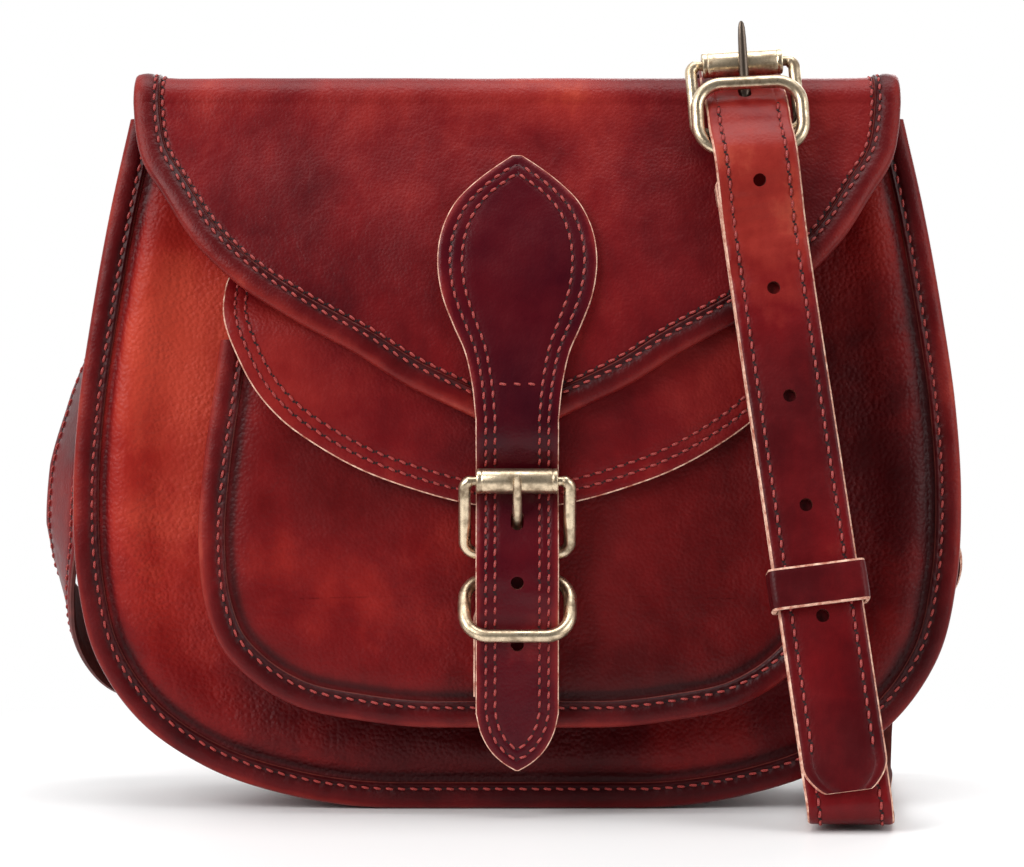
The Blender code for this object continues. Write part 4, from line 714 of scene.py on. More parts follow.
# Front pocket: a leather front with a turned binding like the body's, on a narrow gusset of its own
# that is sewn to the front panel. It swells less than the body, because the flap presses on it.
pocket_outline = (
    (0.25, 0.0), (0.49, 0.018), (0.703, 0.058), (0.845, 0.13), (0.932, 0.21),
    (0.974, 0.297), (1.0, 0.463), (0.984, 0.68), (0.95, 0.88), (0.93, 1.0),
)
pocket_reds = ((0.0, "#2c0103"), (0.30, "#480305"), (0.55, "#66080a"), (0.78, "#881a14"), (1.0, "#ae3624"))
pocket_top = 0.1471
pocket_size = (0.0986, 0.0271, 0.120, pocket_top)
pocket_leather = goat_leather("waxed goat leather, pocket", pocket_reds, 0.0012, 1.3, 8.6, crease=1.3)
pocket_rim = rim_path(pocket_outline, *pocket_size, 130)
# painted light and shade on the pocket front: lighter at its upper left, darker low down
pocket_lights = (
    (-0.035, 0.066, 0.030, 0.12), (0.060, 0.085, 0.03, 0.02), (0.03, 0.035, 0.035, -0.10),
    (-0.04, 0.036, 0.03, -0.06))
pocket = rimmed_panel(
    "pocket_front_leather", pocket_leather, inset(pocket_rim, turn_in), -0.0201, -1, 0.0013,
    pocket_lights, 0.46, 0.4)
settle(pocket, "bag", "red leather", "pocket_front")
fine_pocket = rim_path(pocket_outline, *pocket_size, 260)
# its section, from the edge sewn in the binding to the foot sewn on the front panel
section = (
    (0.0014, -0.01705), (0.0045, -0.01705), (0.0072, -0.0164), (0.0085, -0.0148), (0.0086, -0.0130),
    (0.0087, -0.0100), (0.0086, -0.0070), (0.0088, -0.0046), (0.0098, -0.0031), (0.0120, -0.0031),
    (0.0150, -0.0031),
)
rows = np.stack([at_depth(inset(fine_pocket, n), y) for n, y in section], axis=1)
rows += 0.0004 * ripple(rows, 0.012, 6.0)[:, :, None] * np.array((1.0, 0.0, 1.0))
wall = slab("pocket_gusset_leather", rows, 0.0012, -1, [pocket_leather, dyed_edge, suede], 0.36)
settle(wall, "bag", "red leather", "pocket_gusset")
long_pocket = rim_path(pocket_outline, *pocket_size, 420)
# painted light on the sides of the pocket's binding, a little painted shade at its bottom
pocket_rim_lights = ((-0.09, 0.08, 0.03, 0.14), (0.0, 0.03, 0.05, -0.02), (0.09, 0.08, 0.03, 0.06))
bound_rim(
    "pocket_rim_binding", long_pocket, -0.0186, 0.0028, strip_width, rim_row, "pocket_binding",
    pocket_rim_lights, 0.43)

# Pocket flap: two layers, leather on a pale raw lining that shows along the cut edge, sewn with two rows
# of stitches. It hangs from a seam on the front panel, hidden behind the main flap, over the pocket.


class Profile:
    """A side view line (depth, height) that pieces cut flat are bent along."""

    def __init__(self, points, spans=200):
        self.points = spaced(points, spans)
        self.along = lengths(self.points)
        self.length = self.along[-1]
        self.turn = directions(self.points)

    def at(self, s, offset=0.0):
        """Depth and height at lengths along the line, moved off it; the outer side is the negative one."""
        y, z = (np.interp(s, self.along, self.points[:, k]) for k in (0, 1))
        ty, tz = (np.interp(s, self.along, self.turn[:, k]) for k in (0, 1))
        size = np.hypot(ty, tz)
        return y - tz / size * offset, z + ty / size * offset

    def reach(self, height):
        """The length at which the line last passes a height."""
        z = self.points[:, 1]
        k = np.flatnonzero((z[:-1] - height) * (z[1:] - height) <= 0)[-1]
        return self.along[k] + (height - z[k]) / (z[k + 1] - z[k]) * (self.along[k + 1] - self.along[k])

    def place(self, x, s, offset):
        """Points in space for flat ones; past the line's start or end they go straight on."""
        y, z = self.at(np.clip(s, 0, self.length), offset)
        before, after = np.minimum(s, 0), np.maximum(s - self.length, 0)
        y, z = (v + before * self.turn[0][k] + after * self.turn[-1][k] for k, v in enumerate((y, z)))
        return np.stack(np.broadcast_arrays(x, y, z), axis=-1)

    def outward(self, s):
        ty, tz = (np.interp(s, self.along, self.turn[:, k]) for k in (0, 1))
        return np.stack(np.broadcast_arrays(np.zeros_like(ty), tz, -ty), axis=-1)


def mirrored(half, count):
    """Values for a grid's columns: the left half's, a zero on the middle line, and the same again."""
    return np.concatenate([half, [0.0], half[::-1]])[:count]


def stitch_line(edge, inset_by, profile, height, skip):
    """A row's line down the left edge and its mirror up the right one, on a profile."""
    left = np.column_stack([-edge[:, 0], edge[:, 1]])
    line = left - left_of(left) * np.reshape(np.broadcast_to(inset_by, (len(left),)), (-1, 1))
    line = line[skip[0]:len(line) - skip[1]]
    line = line[line[:, 0] < 0.0]
    line = np.vstack([line, line[::-1] * (-1, 1)])
    return profile.place(line[:, 0], line[:, 1], -height), profile.outward(line[:, 1])


flap_reds = ((0.0, "#300509"), (0.28, "#48070d"), (0.52, "#680c10"), (0.76, "#88201c"), (1.0, "#b0402c"))
flap_leather = goat_leather("rubbed burgundy leather, flaps", flap_reds, 0.0010, 0.9, 3.9,
                            crease=1.8, rough=0.38)
fine_stitch = (0.0036, 0.0024)
pocket_flap_shares = (
    (0.93, 0.0), (0.985, 0.08), (1.0, 0.16), (0.997, 0.25), (0.957, 0.377), (0.888, 0.53),
    (0.80, 0.646), (0.676, 0.75), (0.533, 0.841), (0.36, 0.916), (0.19, 0.97), (0.03, 1.0),
)
# in the side view it leaves the seam on the front panel, clears the pocket's rim and hangs in front of it
seam_y, seam_z, clear = -0.0032, 0.173, -0.02275
step, rise = clear - seam_y, seam_z - pocket_top
pocket_flap_half, pocket_flap_drop = 0.0908, 0.0785
pocket_flap_line = Profile(curve_through([
    (seam_y, seam_z), (seam_y + 0.27 * step, seam_z - 0.17 * rise),
    (seam_y + 0.74 * step, seam_z - 0.52 * rise), (clear - 0.0004, pocket_top + 0.12 * rise),
    (clear - 0.0004, pocket_top - 0.27 * rise), (clear, seam_z - pocket_flap_drop)], 120))
edge = [(pocket_flap_shares[0][0] * pocket_flap_half, 0.0)]
for x, z in pocket_flap_shares[1:]:
    s = pocket_flap_line.reach(seam_z - z * pocket_flap_drop) if z < 1 else pocket_flap_line.length
    edge.append((x * pocket_flap_half, s))
edge = curve_through(edge, 150)
flat = pattern(edge, (0.0004, 0.0018, 0.0030, 0.0038, 0.0046, 0.0060, 0.0070, 0.0080, 0.011))
x, s = flat[:, :, 0], flat[:, :, 1]
# the leather is pressed down at its cut edge and along both stitch rows
press = np.zeros(flat.shape[1])
for d, drop in ((0, -0.00025), (1, -0.00005), (4, -0.0003), (7, -0.0003)):
    press[d] = press[-1 - d] = drop
waves = 0.00022 * ripple(np.stack([x, s, 0 * x], axis=2), 0.020, 1.9)
rows = pocket_flap_line.place(x, s, -(0.0013 + press[None, :] + waves))
# painted light on the flap's two ends and painted shade in its middle, under the main flap's point
tones = 0.47
for at, change in ((-0.070, 0.20), (0.058, 0.22), (0.0, -0.10)):
    tones = tones + change * np.exp(-((x - at) / 0.03) ** 2)
outward = pocket_flap_line.outward(s)
hide, hide_back = [flap_leather, raw_edge, suede], [suede, raw_edge, suede]
face = slab("pocket_flap_leather", rows, 0.0012, 1, hide, tones, up=outward, band=1)
settle(face, "pocket_flap", "red leather", "pocket_flap_panel")
rows = pocket_flap_line.place(x, s, 0.0)
under = slab("pocket_flap_lining_leather", rows, 0.0011, 1, hide_back, 0.5, up=outward)
settle(under, "pocket_flap", "raw leather back", "pocket_flap_lining")
lines = [stitch_line(edge, d, pocket_flap_line, 0.0011, (2, 0)) for d in (0.0038, 0.0070)]
settle(sew("pocket_flap_thread", lines, *fine_stitch), "pocket_flap", "red leather")

# Main flap: one wide piece of leather, lined, that grows out of the back, folds over the top and hangs
# to a point in front. A binding strip is turned over its free edge and sewn with two rows of stitches.
flap_outline = (
    (1.0, 0.08), (0.993, 0.15), (0.976, 0.23), (0.911, 0.345), (0.817, 0.49), (0.717, 0.589),
    (0.578, 0.686), (0.407, 0.786), (0.2975, 0.86), (0.122, 0.951), (0.03, 1.0),
)
flap_half, flap_top, flap_apex, fold_radius = 0.120, 0.230, 0.118, 0.009
stack = 0.0026
radius, fold = fold_radius - stack / 2, flap_top - fold_radius
back_y, front_y = body_depth + half_stack - fold_radius, fold_radius - 0.0095
hang = -0.0226 - stack - stack / 2


def arc(centre, radius, start, end, steps):
    """Points of an arc between two angles in degrees."""
    turn = np.radians(np.linspace(start, end, steps + 1))
    return [(centre[0] + radius * math.cos(a), centre[1] + radius * math.sin(a)) for a in turn]


points = [(back_y + radius, mouth + 0.0003)]
points += arc((back_y, fold), radius, 0, 90, 20) + arc((front_y, fold), radius, 90, 180, 20)
clear_z = 0.150
lower = curve_through([
    points[-1], (hang - 0.00104, clear_z + 0.07 * (fold - clear_z)),
    (hang - 0.0013, clear_z - 0.12 * (clear_z - flap_apex)), (hang - 0.0013, flap_apex)], 60)
flap_line = Profile(points + [tuple(p) for p in lower[1:]], 420)
drop = flap_top - flap_apex
edge = [(flap_half, 0.0), (flap_half, flap_line.reach(flap_top - 0.081 * drop) - fold_radius)]
for x, z in flap_outline:
    edge.append((x * flap_half, flap_line.reach(flap_top - z * drop) if z < 1 else flap_line.length))
flap_edge = spaced([edge[0], edge[1]] + [tuple(p) for p in curve_through(edge[2:], 120)], 300)


# each patch of painted light and shade: its place in the front view, how far it spreads across and up, and how
# much lighter it is
flap_light_patches = (
    (-0.085, 0.222, 0.030, 0.016, 0.10), (-0.052, 0.212, 0.014, 0.016, 0.16),
    (0.010, 0.222, 0.060, 0.012, 0.16), (-0.100, 0.200, 0.016, 0.020, 0.08),
    (-0.060, 0.190, 0.030, 0.020, 0.03), (0.075, 0.190, 0.030, 0.020, 0.10),
    (0.100, 0.215, 0.020, 0.018, 0.16), (0.035, 0.185, 0.014, 0.030, -0.12),
    (-0.040, 0.160, 0.025, 0.018, -0.05), (0.045, 0.160, 0.020, 0.015, 0.04),
    (-0.012, 0.205, 0.040, 0.026, 0.10), (-0.075, 0.198, 0.020, 0.020, 0.06),
)


def flap_light_and_tone(x, s):
    """Painted light and shade on the main flap, lighter along its top and down the right, wine dark at the
    left, over its own random tone.
    """
    y, z = flap_line.at(np.clip(s, 0, flap_line.length))
    spot = np.stack(np.broadcast_arrays(x, y, z), axis=-1)
    tone = np.full(np.shape(x), 0.46)
    in_front = np.clip((0.050 - spot[..., 1]) / 0.045, 0, 1)
    for px, pz, wide, high, change in flap_light_patches:
        away = -((spot[..., 0] - px) / wide) ** 2 - ((spot[..., 2] - pz) / high) ** 2
        tone += change * np.exp(away) * in_front
    # painted highlight along the top of the fold
    top = np.clip((spot[..., 2] - 0.222) / 0.008, 0, 1)
    return tone + 0.04 * top + 0.08 * ripple(spot, 0.03, 5.5)


flat = pattern(flap_edge, (0.0010, 0.0040, 0.0070, 0.0082, 0.0087, 0.0094, 0.0110, 0.0135, 0.017), 16)[:, 1:-1]
x, s = flat[:, :, 0], flat[:, :, 1]
press = mirrored(np.array([0.0, 0.0, 0.0, -0.0002, -0.0001, 0.0001, 0.0001] + [0.0] * 17), flat.shape[1])
waves = 0.00020 * ripple(np.stack([x, s, 0 * x], axis=2), 0.030, 2.9)
streaks = 0.00010 * ripple(np.stack([x, s * 0.25, 0 * x], axis=2), 0.0045, 4.9)
rows = flap_line.place(x, s, -(stack / 2 + press[None, :] + waves + streaks))
face = slab("flap_leather_piece", rows, 0.0012, 1, hide, flap_light_and_tone(x, s), up=flap_line.outward(s))
settle(face, "flap", "red leather", "flap_panel")
under = slab("flap_lining_leather", flap_line.place(x, s, 0.0), 0.0012, 1, hide_back, 0.5,
             up=flap_line.outward(s))
settle(under, "flap", "raw leather back", "flap_lining")


def bound_flap(name, edge, width, row, base):
    """The flap's binding: its section carried round the free edge in the flat and bent with the flap."""
    left = np.column_stack([-edge[:, 0], edge[:, 1]])
    path = spaced(np.vstack([left, left[::-1] * (-1, 1)]), 900)
    inward = -left_of(path)
    inward[0], inward[-1] = (1, 0), (-1, 0)
    section, kinds = turned_over(stack, width, row)
    rows = np.empty((len(path), len(section), 3))
    tones = np.empty((len(path), len(section)))
    pull = 0.5 + 0.5 * np.cos(2 * np.pi * lengths(path) / 0.0036)
    for j, (n, d) in enumerate(section):
        flat = path + inward * n
        near = math.exp(-((n - row) / 0.0012) ** 2)
        puff = 0.00016 * ripple(np.column_stack([flat, np.zeros(len(flat))]), 0.0050, j * 0.11)
        puff = puff - 0.0002 * near * pull
        rows[:, j] = flap_line.place(flat[:, 0], flat[:, 1], d + np.sign(d) * puff * (1 if n > 0.0005 else 0))
        # painted highlight along the fold, painted shade along the stitch row and where the binding's edge
        # meets the flap
        fold_highlight, edge_shade = math.exp(-((n - 0.0010) / 0.0018) ** 2), math.exp(-((n - width) / 0.0007) ** 2)
        fold_light_and_seam_shade = 0.26 * fold_highlight - 0.20 * near - 0.25 * edge_shade
        tones[:, j] = base + fold_light_and_seam_shade + 0.12 * ripple(rows[:, j], 0.03, 7.7)
    piece = loft(name, rows, kinds, [binding_leather, dyed_edge], tones)
    # one row sits on the strip and a second just inside it; the first shows on the back as well
    lines = []
    for at, lift, face in ((row, 0.0007, 1), (width + 0.0008, 0.0001, 1), (row, 0.0007, -1)):
        line = (path + inward * at)[3:-3]
        points = flap_line.place(line[:, 0], line[:, 1], -face * (stack / 2 + lift))
        lines.append((points, face * flap_line.outward(line[:, 1])))
    return piece, lines


piece, lines = bound_flap("flap_binding_strip", flap_edge, strip_width, 0.0067, 0.48)
back_s = np.full(60, 0.0042)
back_row = flap_line.place(np.linspace(-0.108, 0.108, 60), back_s, -(stack / 2 + 0.0001))
lines.append((back_row, flap_line.outward(back_s)))
settle(piece, "flap", "dark binding", "flap_binding")
settle(sew("flap_thread", lines, *fine_stitch), "flap", "dark binding")

# Closure strap: a leaf of smooth dark leather sewn on the flap runs on as a strap down to its buckle.
# Its backing is raw, so a pale line follows its cut edge; two rows of stitches run along each side.


class Place:
    """A local frame at an origin: across, outward and along."""

    def __init__(self, origin, across, along):
        self.origin = np.array(origin, float)
        self.along = np.array(along, float) / np.linalg.norm(along)
        flat = np.array(across, float) - np.dot(across, self.along) * self.along
        self.across = flat / np.linalg.norm(flat)
        self.outward = np.cross(self.across, self.along)

    def __call__(self, u, w, v):
        u, w, v = (np.asarray(a, float)[..., None] for a in (u, w, v))
        return self.origin + u * self.across + w * self.outward + v * self.along


bar_to_roller, roller_radius, wire, prong_wire = 0.0228, 0.0039, 0.0038, 0.0011
# play is the air between metal and what turns on it
play = 0.0003
prong_curl = wire / 2 + play + prong_wire
prong_over = roller_radius + play + prong_wire
prong_span = math.hypot(prong_over, bar_to_roller)
prong_lean = math.atan2(prong_over, bar_to_roller) + math.asin(prong_curl / prong_span)


def prong_meets(place, line):
    """Which of a strap's middle points the prong of a buckle at a frame goes through."""
    away = line - place.origin
    w, v = away @ place.outward, away @ place.along
    cos, sin = math.cos(prong_lean), math.sin(prong_lean)
    off = np.abs((w + prong_curl * cos) * cos - (v - prong_curl * sin) * sin)
    return int(np.argmin(off + np.where((v > 0) & (v < bar_to_roller), 0, 1)))


closure_tilt, closure_z = math.radians(14.6), 0.0815
closure = Place((0, -0.02625, closure_z), (1, 0, 0), (0, -math.sin(closure_tilt), math.cos(closure_tilt)))
# each of the two layers' thickness; the line runs between them, over the flap and its point
layer = 0.00135
off = -stack / 2 - play - layer
points = [flap_line.at(flap_line.reach(h), off) for h in np.linspace(0.2028, flap_apex + 0.036, 6)]
over = off - 0.0013
points += [flap_line.at(flap_line.reach(flap_apex + 0.018), over),
           flap_line.at(flap_line.length, over - 0.0006)]
# it goes behind the roller, in front of the bar and the prong's curl, and leans back to its tip
strap_tip_z = 0.0149
behind = closure(0, -(roller_radius + play + layer), bar_to_roller)
before = closure(0, wire / 2 + play + 2 * prong_wire + 0.0006 + layer, 0)
points += [(behind[1], behind[2]), (before[1], before[2])]
for back, down in ((0.55, 0.36), (0.75, 0.62), (1.0, 1.0)):
    points.append((before[1] + back * 0.004, before[2] - down * (before[2] - strap_tip_z)))
closure_line = Profile(curve_through([tuple(map(float, p)) for p in points], 220), 420)
leaf_shares = (
    (0.06, 0.0), (0.25, 0.04), (0.50, 0.10), (0.78, 0.19), (0.956, 0.31), (1.0, 0.415), (0.944, 0.54),
    (0.80, 0.655), (0.66, 0.75), (0.57, 0.865),
)
leaf_half, leaf_length, strap_half = 0.0245, 0.0835, 0.0127
edge = [(x * leaf_half, z * leaf_length) for x, z in leaf_shares] + [(strap_half, leaf_length)]
end = closure_line.length - 0.0175
body_edge = curve_through(edge, 110)
point_edge = [(share * strap_half, end + s)
              for share, s in ((1, 0.0), (0.88, 0.0061), (0.62, 0.0119), (0.28, 0.01575))]
point_edge.append((0.04 * strap_half, closure_line.length))
straight = [(strap_half, s) for s in np.linspace(leaf_length, end, 90)[1:-1]]
leaf_edge = np.vstack([body_edge, straight, curve_through(point_edge, 30)])
share = np.clip((leaf_edge[:, 0] - strap_half) / (leaf_half - strap_half), 0, 1)
first_row, second_row = 0.0031 + 0.0008 * share, 0.0059 + 0.0017 * share
flat = pattern(leaf_edge, (
    0.0003, 0.0016, first_row - 0.0007, first_row, first_row + 0.0007,
    second_row - 0.0007, second_row, second_row + 0.0008), 5)
x, s = flat[:, :, 0], flat[:, :, 1]
press_half = np.array([-0.00025, -0.00006, 0.0, 0.0, -0.00025, 0.0, 0.0, -0.00025] + [0.0] * 5)
press = mirrored(press_half, flat.shape[1])
# it has creased where it bends at the roller and under the buckle
crease = np.exp(-((s - closure_line.reach(0.066)) / 0.010) ** 2)
crease = crease + 0.7 * np.exp(-((s - closure_line.reach(0.112)) / 0.006) ** 2)
waves = (0.00010 + 0.00022 * crease) * ripple(np.stack([x * 0.35, s, 0 * x], axis=2), 0.0045, 2.2)
rows = closure_line.place(x, s, -(layer + press[None, :] + waves))
leaf_reds = ((0.0, "#22030b"), (0.30, "#38040f"), (0.58, "#4e0711"), (0.82, "#781c1e"), (1.0, "#b24838"))
leaf_leather = goat_leather(
    "burnished dark leather, closure", leaf_reds, 0.0010, 0.45, 11.3, crease=0.9, rough=0.30)
y, z = closure_line.at(s)
# painted light and shade in bands down the strap: lighter on the flap and below the buckle, darker where it
# bends in towards the roller
tones = 0.42
for height, wide, change in ((0.165, 0.02, 0.10), (0.12, 0.012, -0.10), (0.05, 0.015, 0.14)):
    tones = tones + change * np.exp(-((z - height) / wide) ** 2)
# its rim is rubbed paler than the rest
from_rim = np.abs(x) - np.interp(s, leaf_edge[:, 1], leaf_edge[:, 0])
tones = tones + 0.30 * np.exp(-(from_rim / 0.0016) ** 2)
tones = tones + 0.10 * ripple(np.stack([x, y, z], axis=-1), 0.012, 8.8)
leaf_hide, outward = [leaf_leather, raw_edge, suede], closure_line.outward(s)
leaf = slab("closure_strap_leather", rows, 0.0012, 1, leaf_hide, tones, up=outward, band=1)
settle(leaf, "flap", "red leather", "closure_strap")
backing = slab("closure_backing_leather", closure_line.place(x, s, 0.00012), 0.0012, 1,
               hide_back, 0.5, up=outward)
settle(backing, "flap", "raw leather back", "closure_backing")


def punched(obj, spots, finishes):
    """Cuts holes through a piece; a spot is its place, its radius and how far it is stretched along."""
    sides = 28
    turn = np.arange(sides) * 2 * math.pi / sides
    bm = bmesh.new()
    for place, size, stretch in spots:
        rings = []
        for depth in (-0.006, 0.006):
            long = np.sin(turn) * size + np.sign(np.sin(turn)) * stretch / 2
            rings.append([bm.verts.new(tuple(p))
                          for p in place(np.cos(turn) * size, np.full(sides, depth), long)])
        for j in range(sides):
            k = (j + 1) % sides
            bm.faces.new((rings[0][j], rings[0][k], rings[1][k], rings[1][j]))
        bm.faces.new(rings[0])
        bm.faces.new(rings[1])
    bmesh.ops.recalc_face_normals(bm, faces=bm.faces)
    for face in bm.faces:
        face.material_index = len(finishes)
    mesh = bpy.data.meshes.new("punch")
    bm.to_mesh(mesh)
    bm.free()
    for material in finishes:
        mesh.materials.append(material)
    # the holes' walls get the dark dyed edge finish, painted shade so that each hole reads dark
    mesh.materials.append(dyed_edge)
    obj.data.materials.append(dyed_edge)
    tool = bpy.data.objects.new("punch", mesh)
    bpy.context.collection.objects.link(tool)
    cut = obj.modifiers.new("punch", "BOOLEAN")
    cut.operation, cut.solver, cut.object = "DIFFERENCE", "EXACT", tool
    graph = bpy.context.evaluated_depsgraph_get()
    made = bpy.data.meshes.new_from_object(obj.evaluated_get(graph))
    obj.modifiers.remove(cut)
    values = np.zeros(len(made.vertices))
    made.attributes["tone"].data.foreach_get("value", values)
    where = np.array([tuple(v.co) for v in made.vertices])
    known = np.flatnonzero(values)
    for k in np.flatnonzero(values == 0):
        values[k] = values[known[np.argmin(np.linalg.norm(where[known] - where[k], axis=1))]]
    made.attributes["tone"].data.foreach_set("value", values)
    obj.data = made
    bpy.data.objects.remove(tool)
    made.set_sharp_from_angle(angle=math.radians(38))


# the prong goes through the first hole and two more follow at the punch's pitch
hole_radius, worn_long, closure_pitch = 0.0020, 0.0026, 0.0191
middle_line = np.column_stack([np.zeros(len(closure_line.points)), closure_line.points])
first = closure_line.along[prong_meets(closure, middle_line)]
spots = []
for k in range(3):
    at = first + k * closure_pitch
    here, ahead = closure_line.place(0.0, at, 0.0), closure_line.place(0.0, at - 0.002, 0.0)
    spots.append((Place(here, (1, 0, 0), ahead - here), hole_radius, worn_long if k == 0 else 0.0))
punched(leaf, spots, leaf_hide)
punched(backing, spots, hide_back)
lines = [stitch_line(leaf_edge, d, closure_line, layer - 0.0002, (3, 4)) for d in (first_row, second_row)]
cross_s = np.full(30, closure_line.reach(0.133))
cross = closure_line.place(np.linspace(-0.0066, 0.0066, 30), cross_s, -layer + 0.0002)
lines.append((cross, closure_line.outward(cross_s)))
settle(sew("closure_thread", lines, *fine_stitch), "flap", "red leather")

# Chape: a short leather tab folded over the closure buckle's bar and sewn to the pocket below it, where
# it also holds the loose ring's upper bar against the pocket.
def ribbon(name, middles, across, widths, thick, finishes, tones, seam, wrinkle=0.0):
    """A strip with a soft face along a line; a seam is how far in its stitch furrows run."""
    middles, across = np.asarray(middles, float), np.asarray(across, float)
    t = directions(middles)
    side = unit(across - t * (across * t).sum(axis=1, keepdims=True))
    out = np.cross(side, t)
    half = np.broadcast_to(widths, (len(middles),)) / 2
    # each point: how far in from the edge, its share of the thickness and what it rises above that
    face = [
        (0.0, 0.20, 0.0), (0.0005, 0.40, 0.0), (0.0014, 0.5, 0.0), (seam - 0.0008, 0.5, 0.0),
        (seam, 0.5, -0.00030), (seam + 0.0009, 0.5, 0.0), (seam + 0.0030, 0.5, 0.00006),
        (seam + 0.0052, 0.5, 0.0001)]
    count = len(face)
    section = face + [(None, 0.5, 0.0001)] + face[::-1]
    rows, marks = [], []
    along = lengths(middles)
    for k, (n, share, extra) in enumerate(section):
        u = np.zeros(len(middles)) if n is None else (-1 if k < count else 1) * (half - n)
        spot = np.column_stack([along, u * 0.4, np.zeros(len(u))])
        crumple = wrinkle * ripple(spot, 0.0036, 3.3) if share == 0.5 else 0.0
        rows.append(middles + side * u[:, None] + out * np.reshape(thick * share + extra + crumple, (-1, 1)))
    for k, (n, share, _) in enumerate(reversed([section[j] for j in (0, 2, 4, 8, 12, 14, 16)])):
        u = np.zeros(len(middles)) if n is None else (1 if k < 3 else -1) * (half - n)
        rows.append(middles + side * u[:, None] - out * thick * share)
    kinds = [0] * (len(section) - 1) + [1] + [2] * 6 + [1]
    kinds[0] = kinds[len(section) - 2] = 1
    grid = np.stack(rows, axis=1)
    piece = loft(name, grid, kinds, finishes, np.reshape(tones, (-1, 1)))
    lines = [(middles + side * (half - seam)[:, None] * sign + out * (thick / 2 - 0.00012), out)
             for sign in (-1, 1)]
    return piece, lines


def fold_over(bar_w, bar_v, radius, layer, gap, lower, steps=17):
    """(outward, along) points of a strap's end folded over a bar, front layer first."""
    front = layer / 2 + gap / 2
    points = [(bar_w + front, lower), (bar_w + front, bar_v - 2.4 * radius)]
    tuck = math.radians(28)
    for a in np.linspace(-tuck, math.pi + tuck, steps):
        points.append((bar_w + radius * math.cos(a), bar_v + radius * math.sin(a)))
    return points + [(bar_w - front, bar_v - 2.4 * radius), (bar_w - front, lower)]


strap_reds = ((0.0, "#2a0306"), (0.28, "#44060b"), (0.54, "#66090e"), (0.78, "#902a22"), (1.0, "#ba523c"))
strap_leather = goat_leather("bridle leather, straps", strap_reds, 0.0010, 0.5, 14.2, crease=1.2, rough=0.36)
# the straps' undersides are painted dull and nearly as dark as the leather, painted shade for where they face
# the bag
strap_underside_shade = two_tone(
    "flesh side of the straps, painted shade", "ShaderNodeTexNoise", {"Scale": 600.0, "Detail": 5.0},
    ("#2e0a0a", "#6a2a22"), {"Roughness": 0.9, "Specular IOR Level": 0.2}, relief=0.4)
tab_finish = [strap_leather, raw_edge, suede]
ring_wire, ring_height = 0.0040, 0.0250
tab, tab_row = 0.0012, 0.0026
radius = wire / 2 + play + tab / 2
line = fold_over(0.0, 0.0, radius, tab, play, -2.6 * radius - ring_wire)
# below the bar both layers step back over the ring's wire to the pocket, where they are sewn
low = 0.037 - closure_z
drops = ((1.0, None), (1.0, 3.0), (0.9, 2.0), (0.5, 1.2), (0.1, 0.4))
sewn = []
for w, v in (line[0], line[-1]):
    sewn.append([(w - back * ring_wire, low if down is None else v - down * ring_wire) for back, down in drops])
spine = curve_through(sewn[0] + line + sewn[1][::-1], 220)
upright = Place(closure.origin, (1, 0, 0), (0, 0, 1))
middles = upright(-0.0008, spine[:, 0], spine[:, 1])
share = np.clip((-spine[:, 1] - 3 * ring_wire) / (2 * ring_wire), 0, 1)
sideways = np.tile((1.0, 0, 0), (len(middles), 1))
piece, lines = ribbon("chape_leather", middles, sideways, 0.020 + share * 0.0054, tab, tab_finish, 0.5, tab_row)
settle(piece, "bag", "red leather", "chape")
sewn = (spine[:, 1] < -0.020) & (np.arange(len(spine)) < len(spine) // 2)
settle(sew("chape_thread", [(a[sewn], b[sewn]) for a, b in lines], *fine_stitch), "bag", "red leather")


# Buckles and rings: cast and bent brass wire, plated dark and rubbed bright, on the closure and shoulder.
# Each roller and prong turns on its frame, and the loose oval rings keep the straps' ends down.
brass, tree = blank_material("antique brass")
# plated, darkened and then rubbed back: bright and brown in random patches, for a real brass that is bright on
# its high parts with brown left in the hollows
place = add(tree, "ShaderNodeTexCoord")
tarnish = add(tree, "ShaderNodeTexNoise", {
    "Vector": (place, "Object"), "Scale": 260.0, "Detail": 6.0, "Roughness": 0.65})
ramp = add(tree, "ShaderNodeValToRGB", {0: (tarnish, 0)})
for stop, position, colour in zip(ramp.color_ramp.elements, (0.34, 0.56), ("#8b7963", "#dcc8aa")):
    stop.position, stop.color = position, linear(colour)
rub = add(tree, "ShaderNodeMapRange", {0: (tarnish, 0), 1: 0.35, 2: 0.65, 3: 0.44, 4: 0.24})
scuff = add(tree, "ShaderNodeBump", {"Height": (tarnish, 0), "Distance": 0.00005, "Strength": 0.3})
shader = add(tree, "ShaderNodeBsdfPrincipled", {
    "Base Color": (ramp, 0), "Metallic": 1.0, "Roughness": (rub, 0), "Normal": (scuff, 0)})
add(tree, "ShaderNodeOutputMaterial", {"Surface": (shader, 0)})


def wire_loop(name, place, path, radius):
    """A closed brass wire whose middle follows (across, along, share of its radius) points in a frame."""
    path = np.array(path, float)
    run = unit(np.roll(path[:, :2], -1, axis=0) - np.roll(path[:, :2], 1, axis=0))
    rows = []
    for a in 2 * math.pi * np.arange(16) / 16:
        out, up = radius * path[:, 2] * math.cos(a), radius * path[:, 2] * math.sin(a)
        rows.append(place(path[:, 0] + run[:, 1] * out, up, path[:, 1] - run[:, 0] * out))
    return loft(name, np.stack(rows, axis=1), [0] * 16, [brass], 0.5, ring=True)


def corner(u, v, radius, start, steps=10):
    turn = start + np.linspace(0, math.pi / 2, steps + 1)
    return [(u + radius * math.cos(a), v + radius * math.sin(a), 1.0) for a in turn]


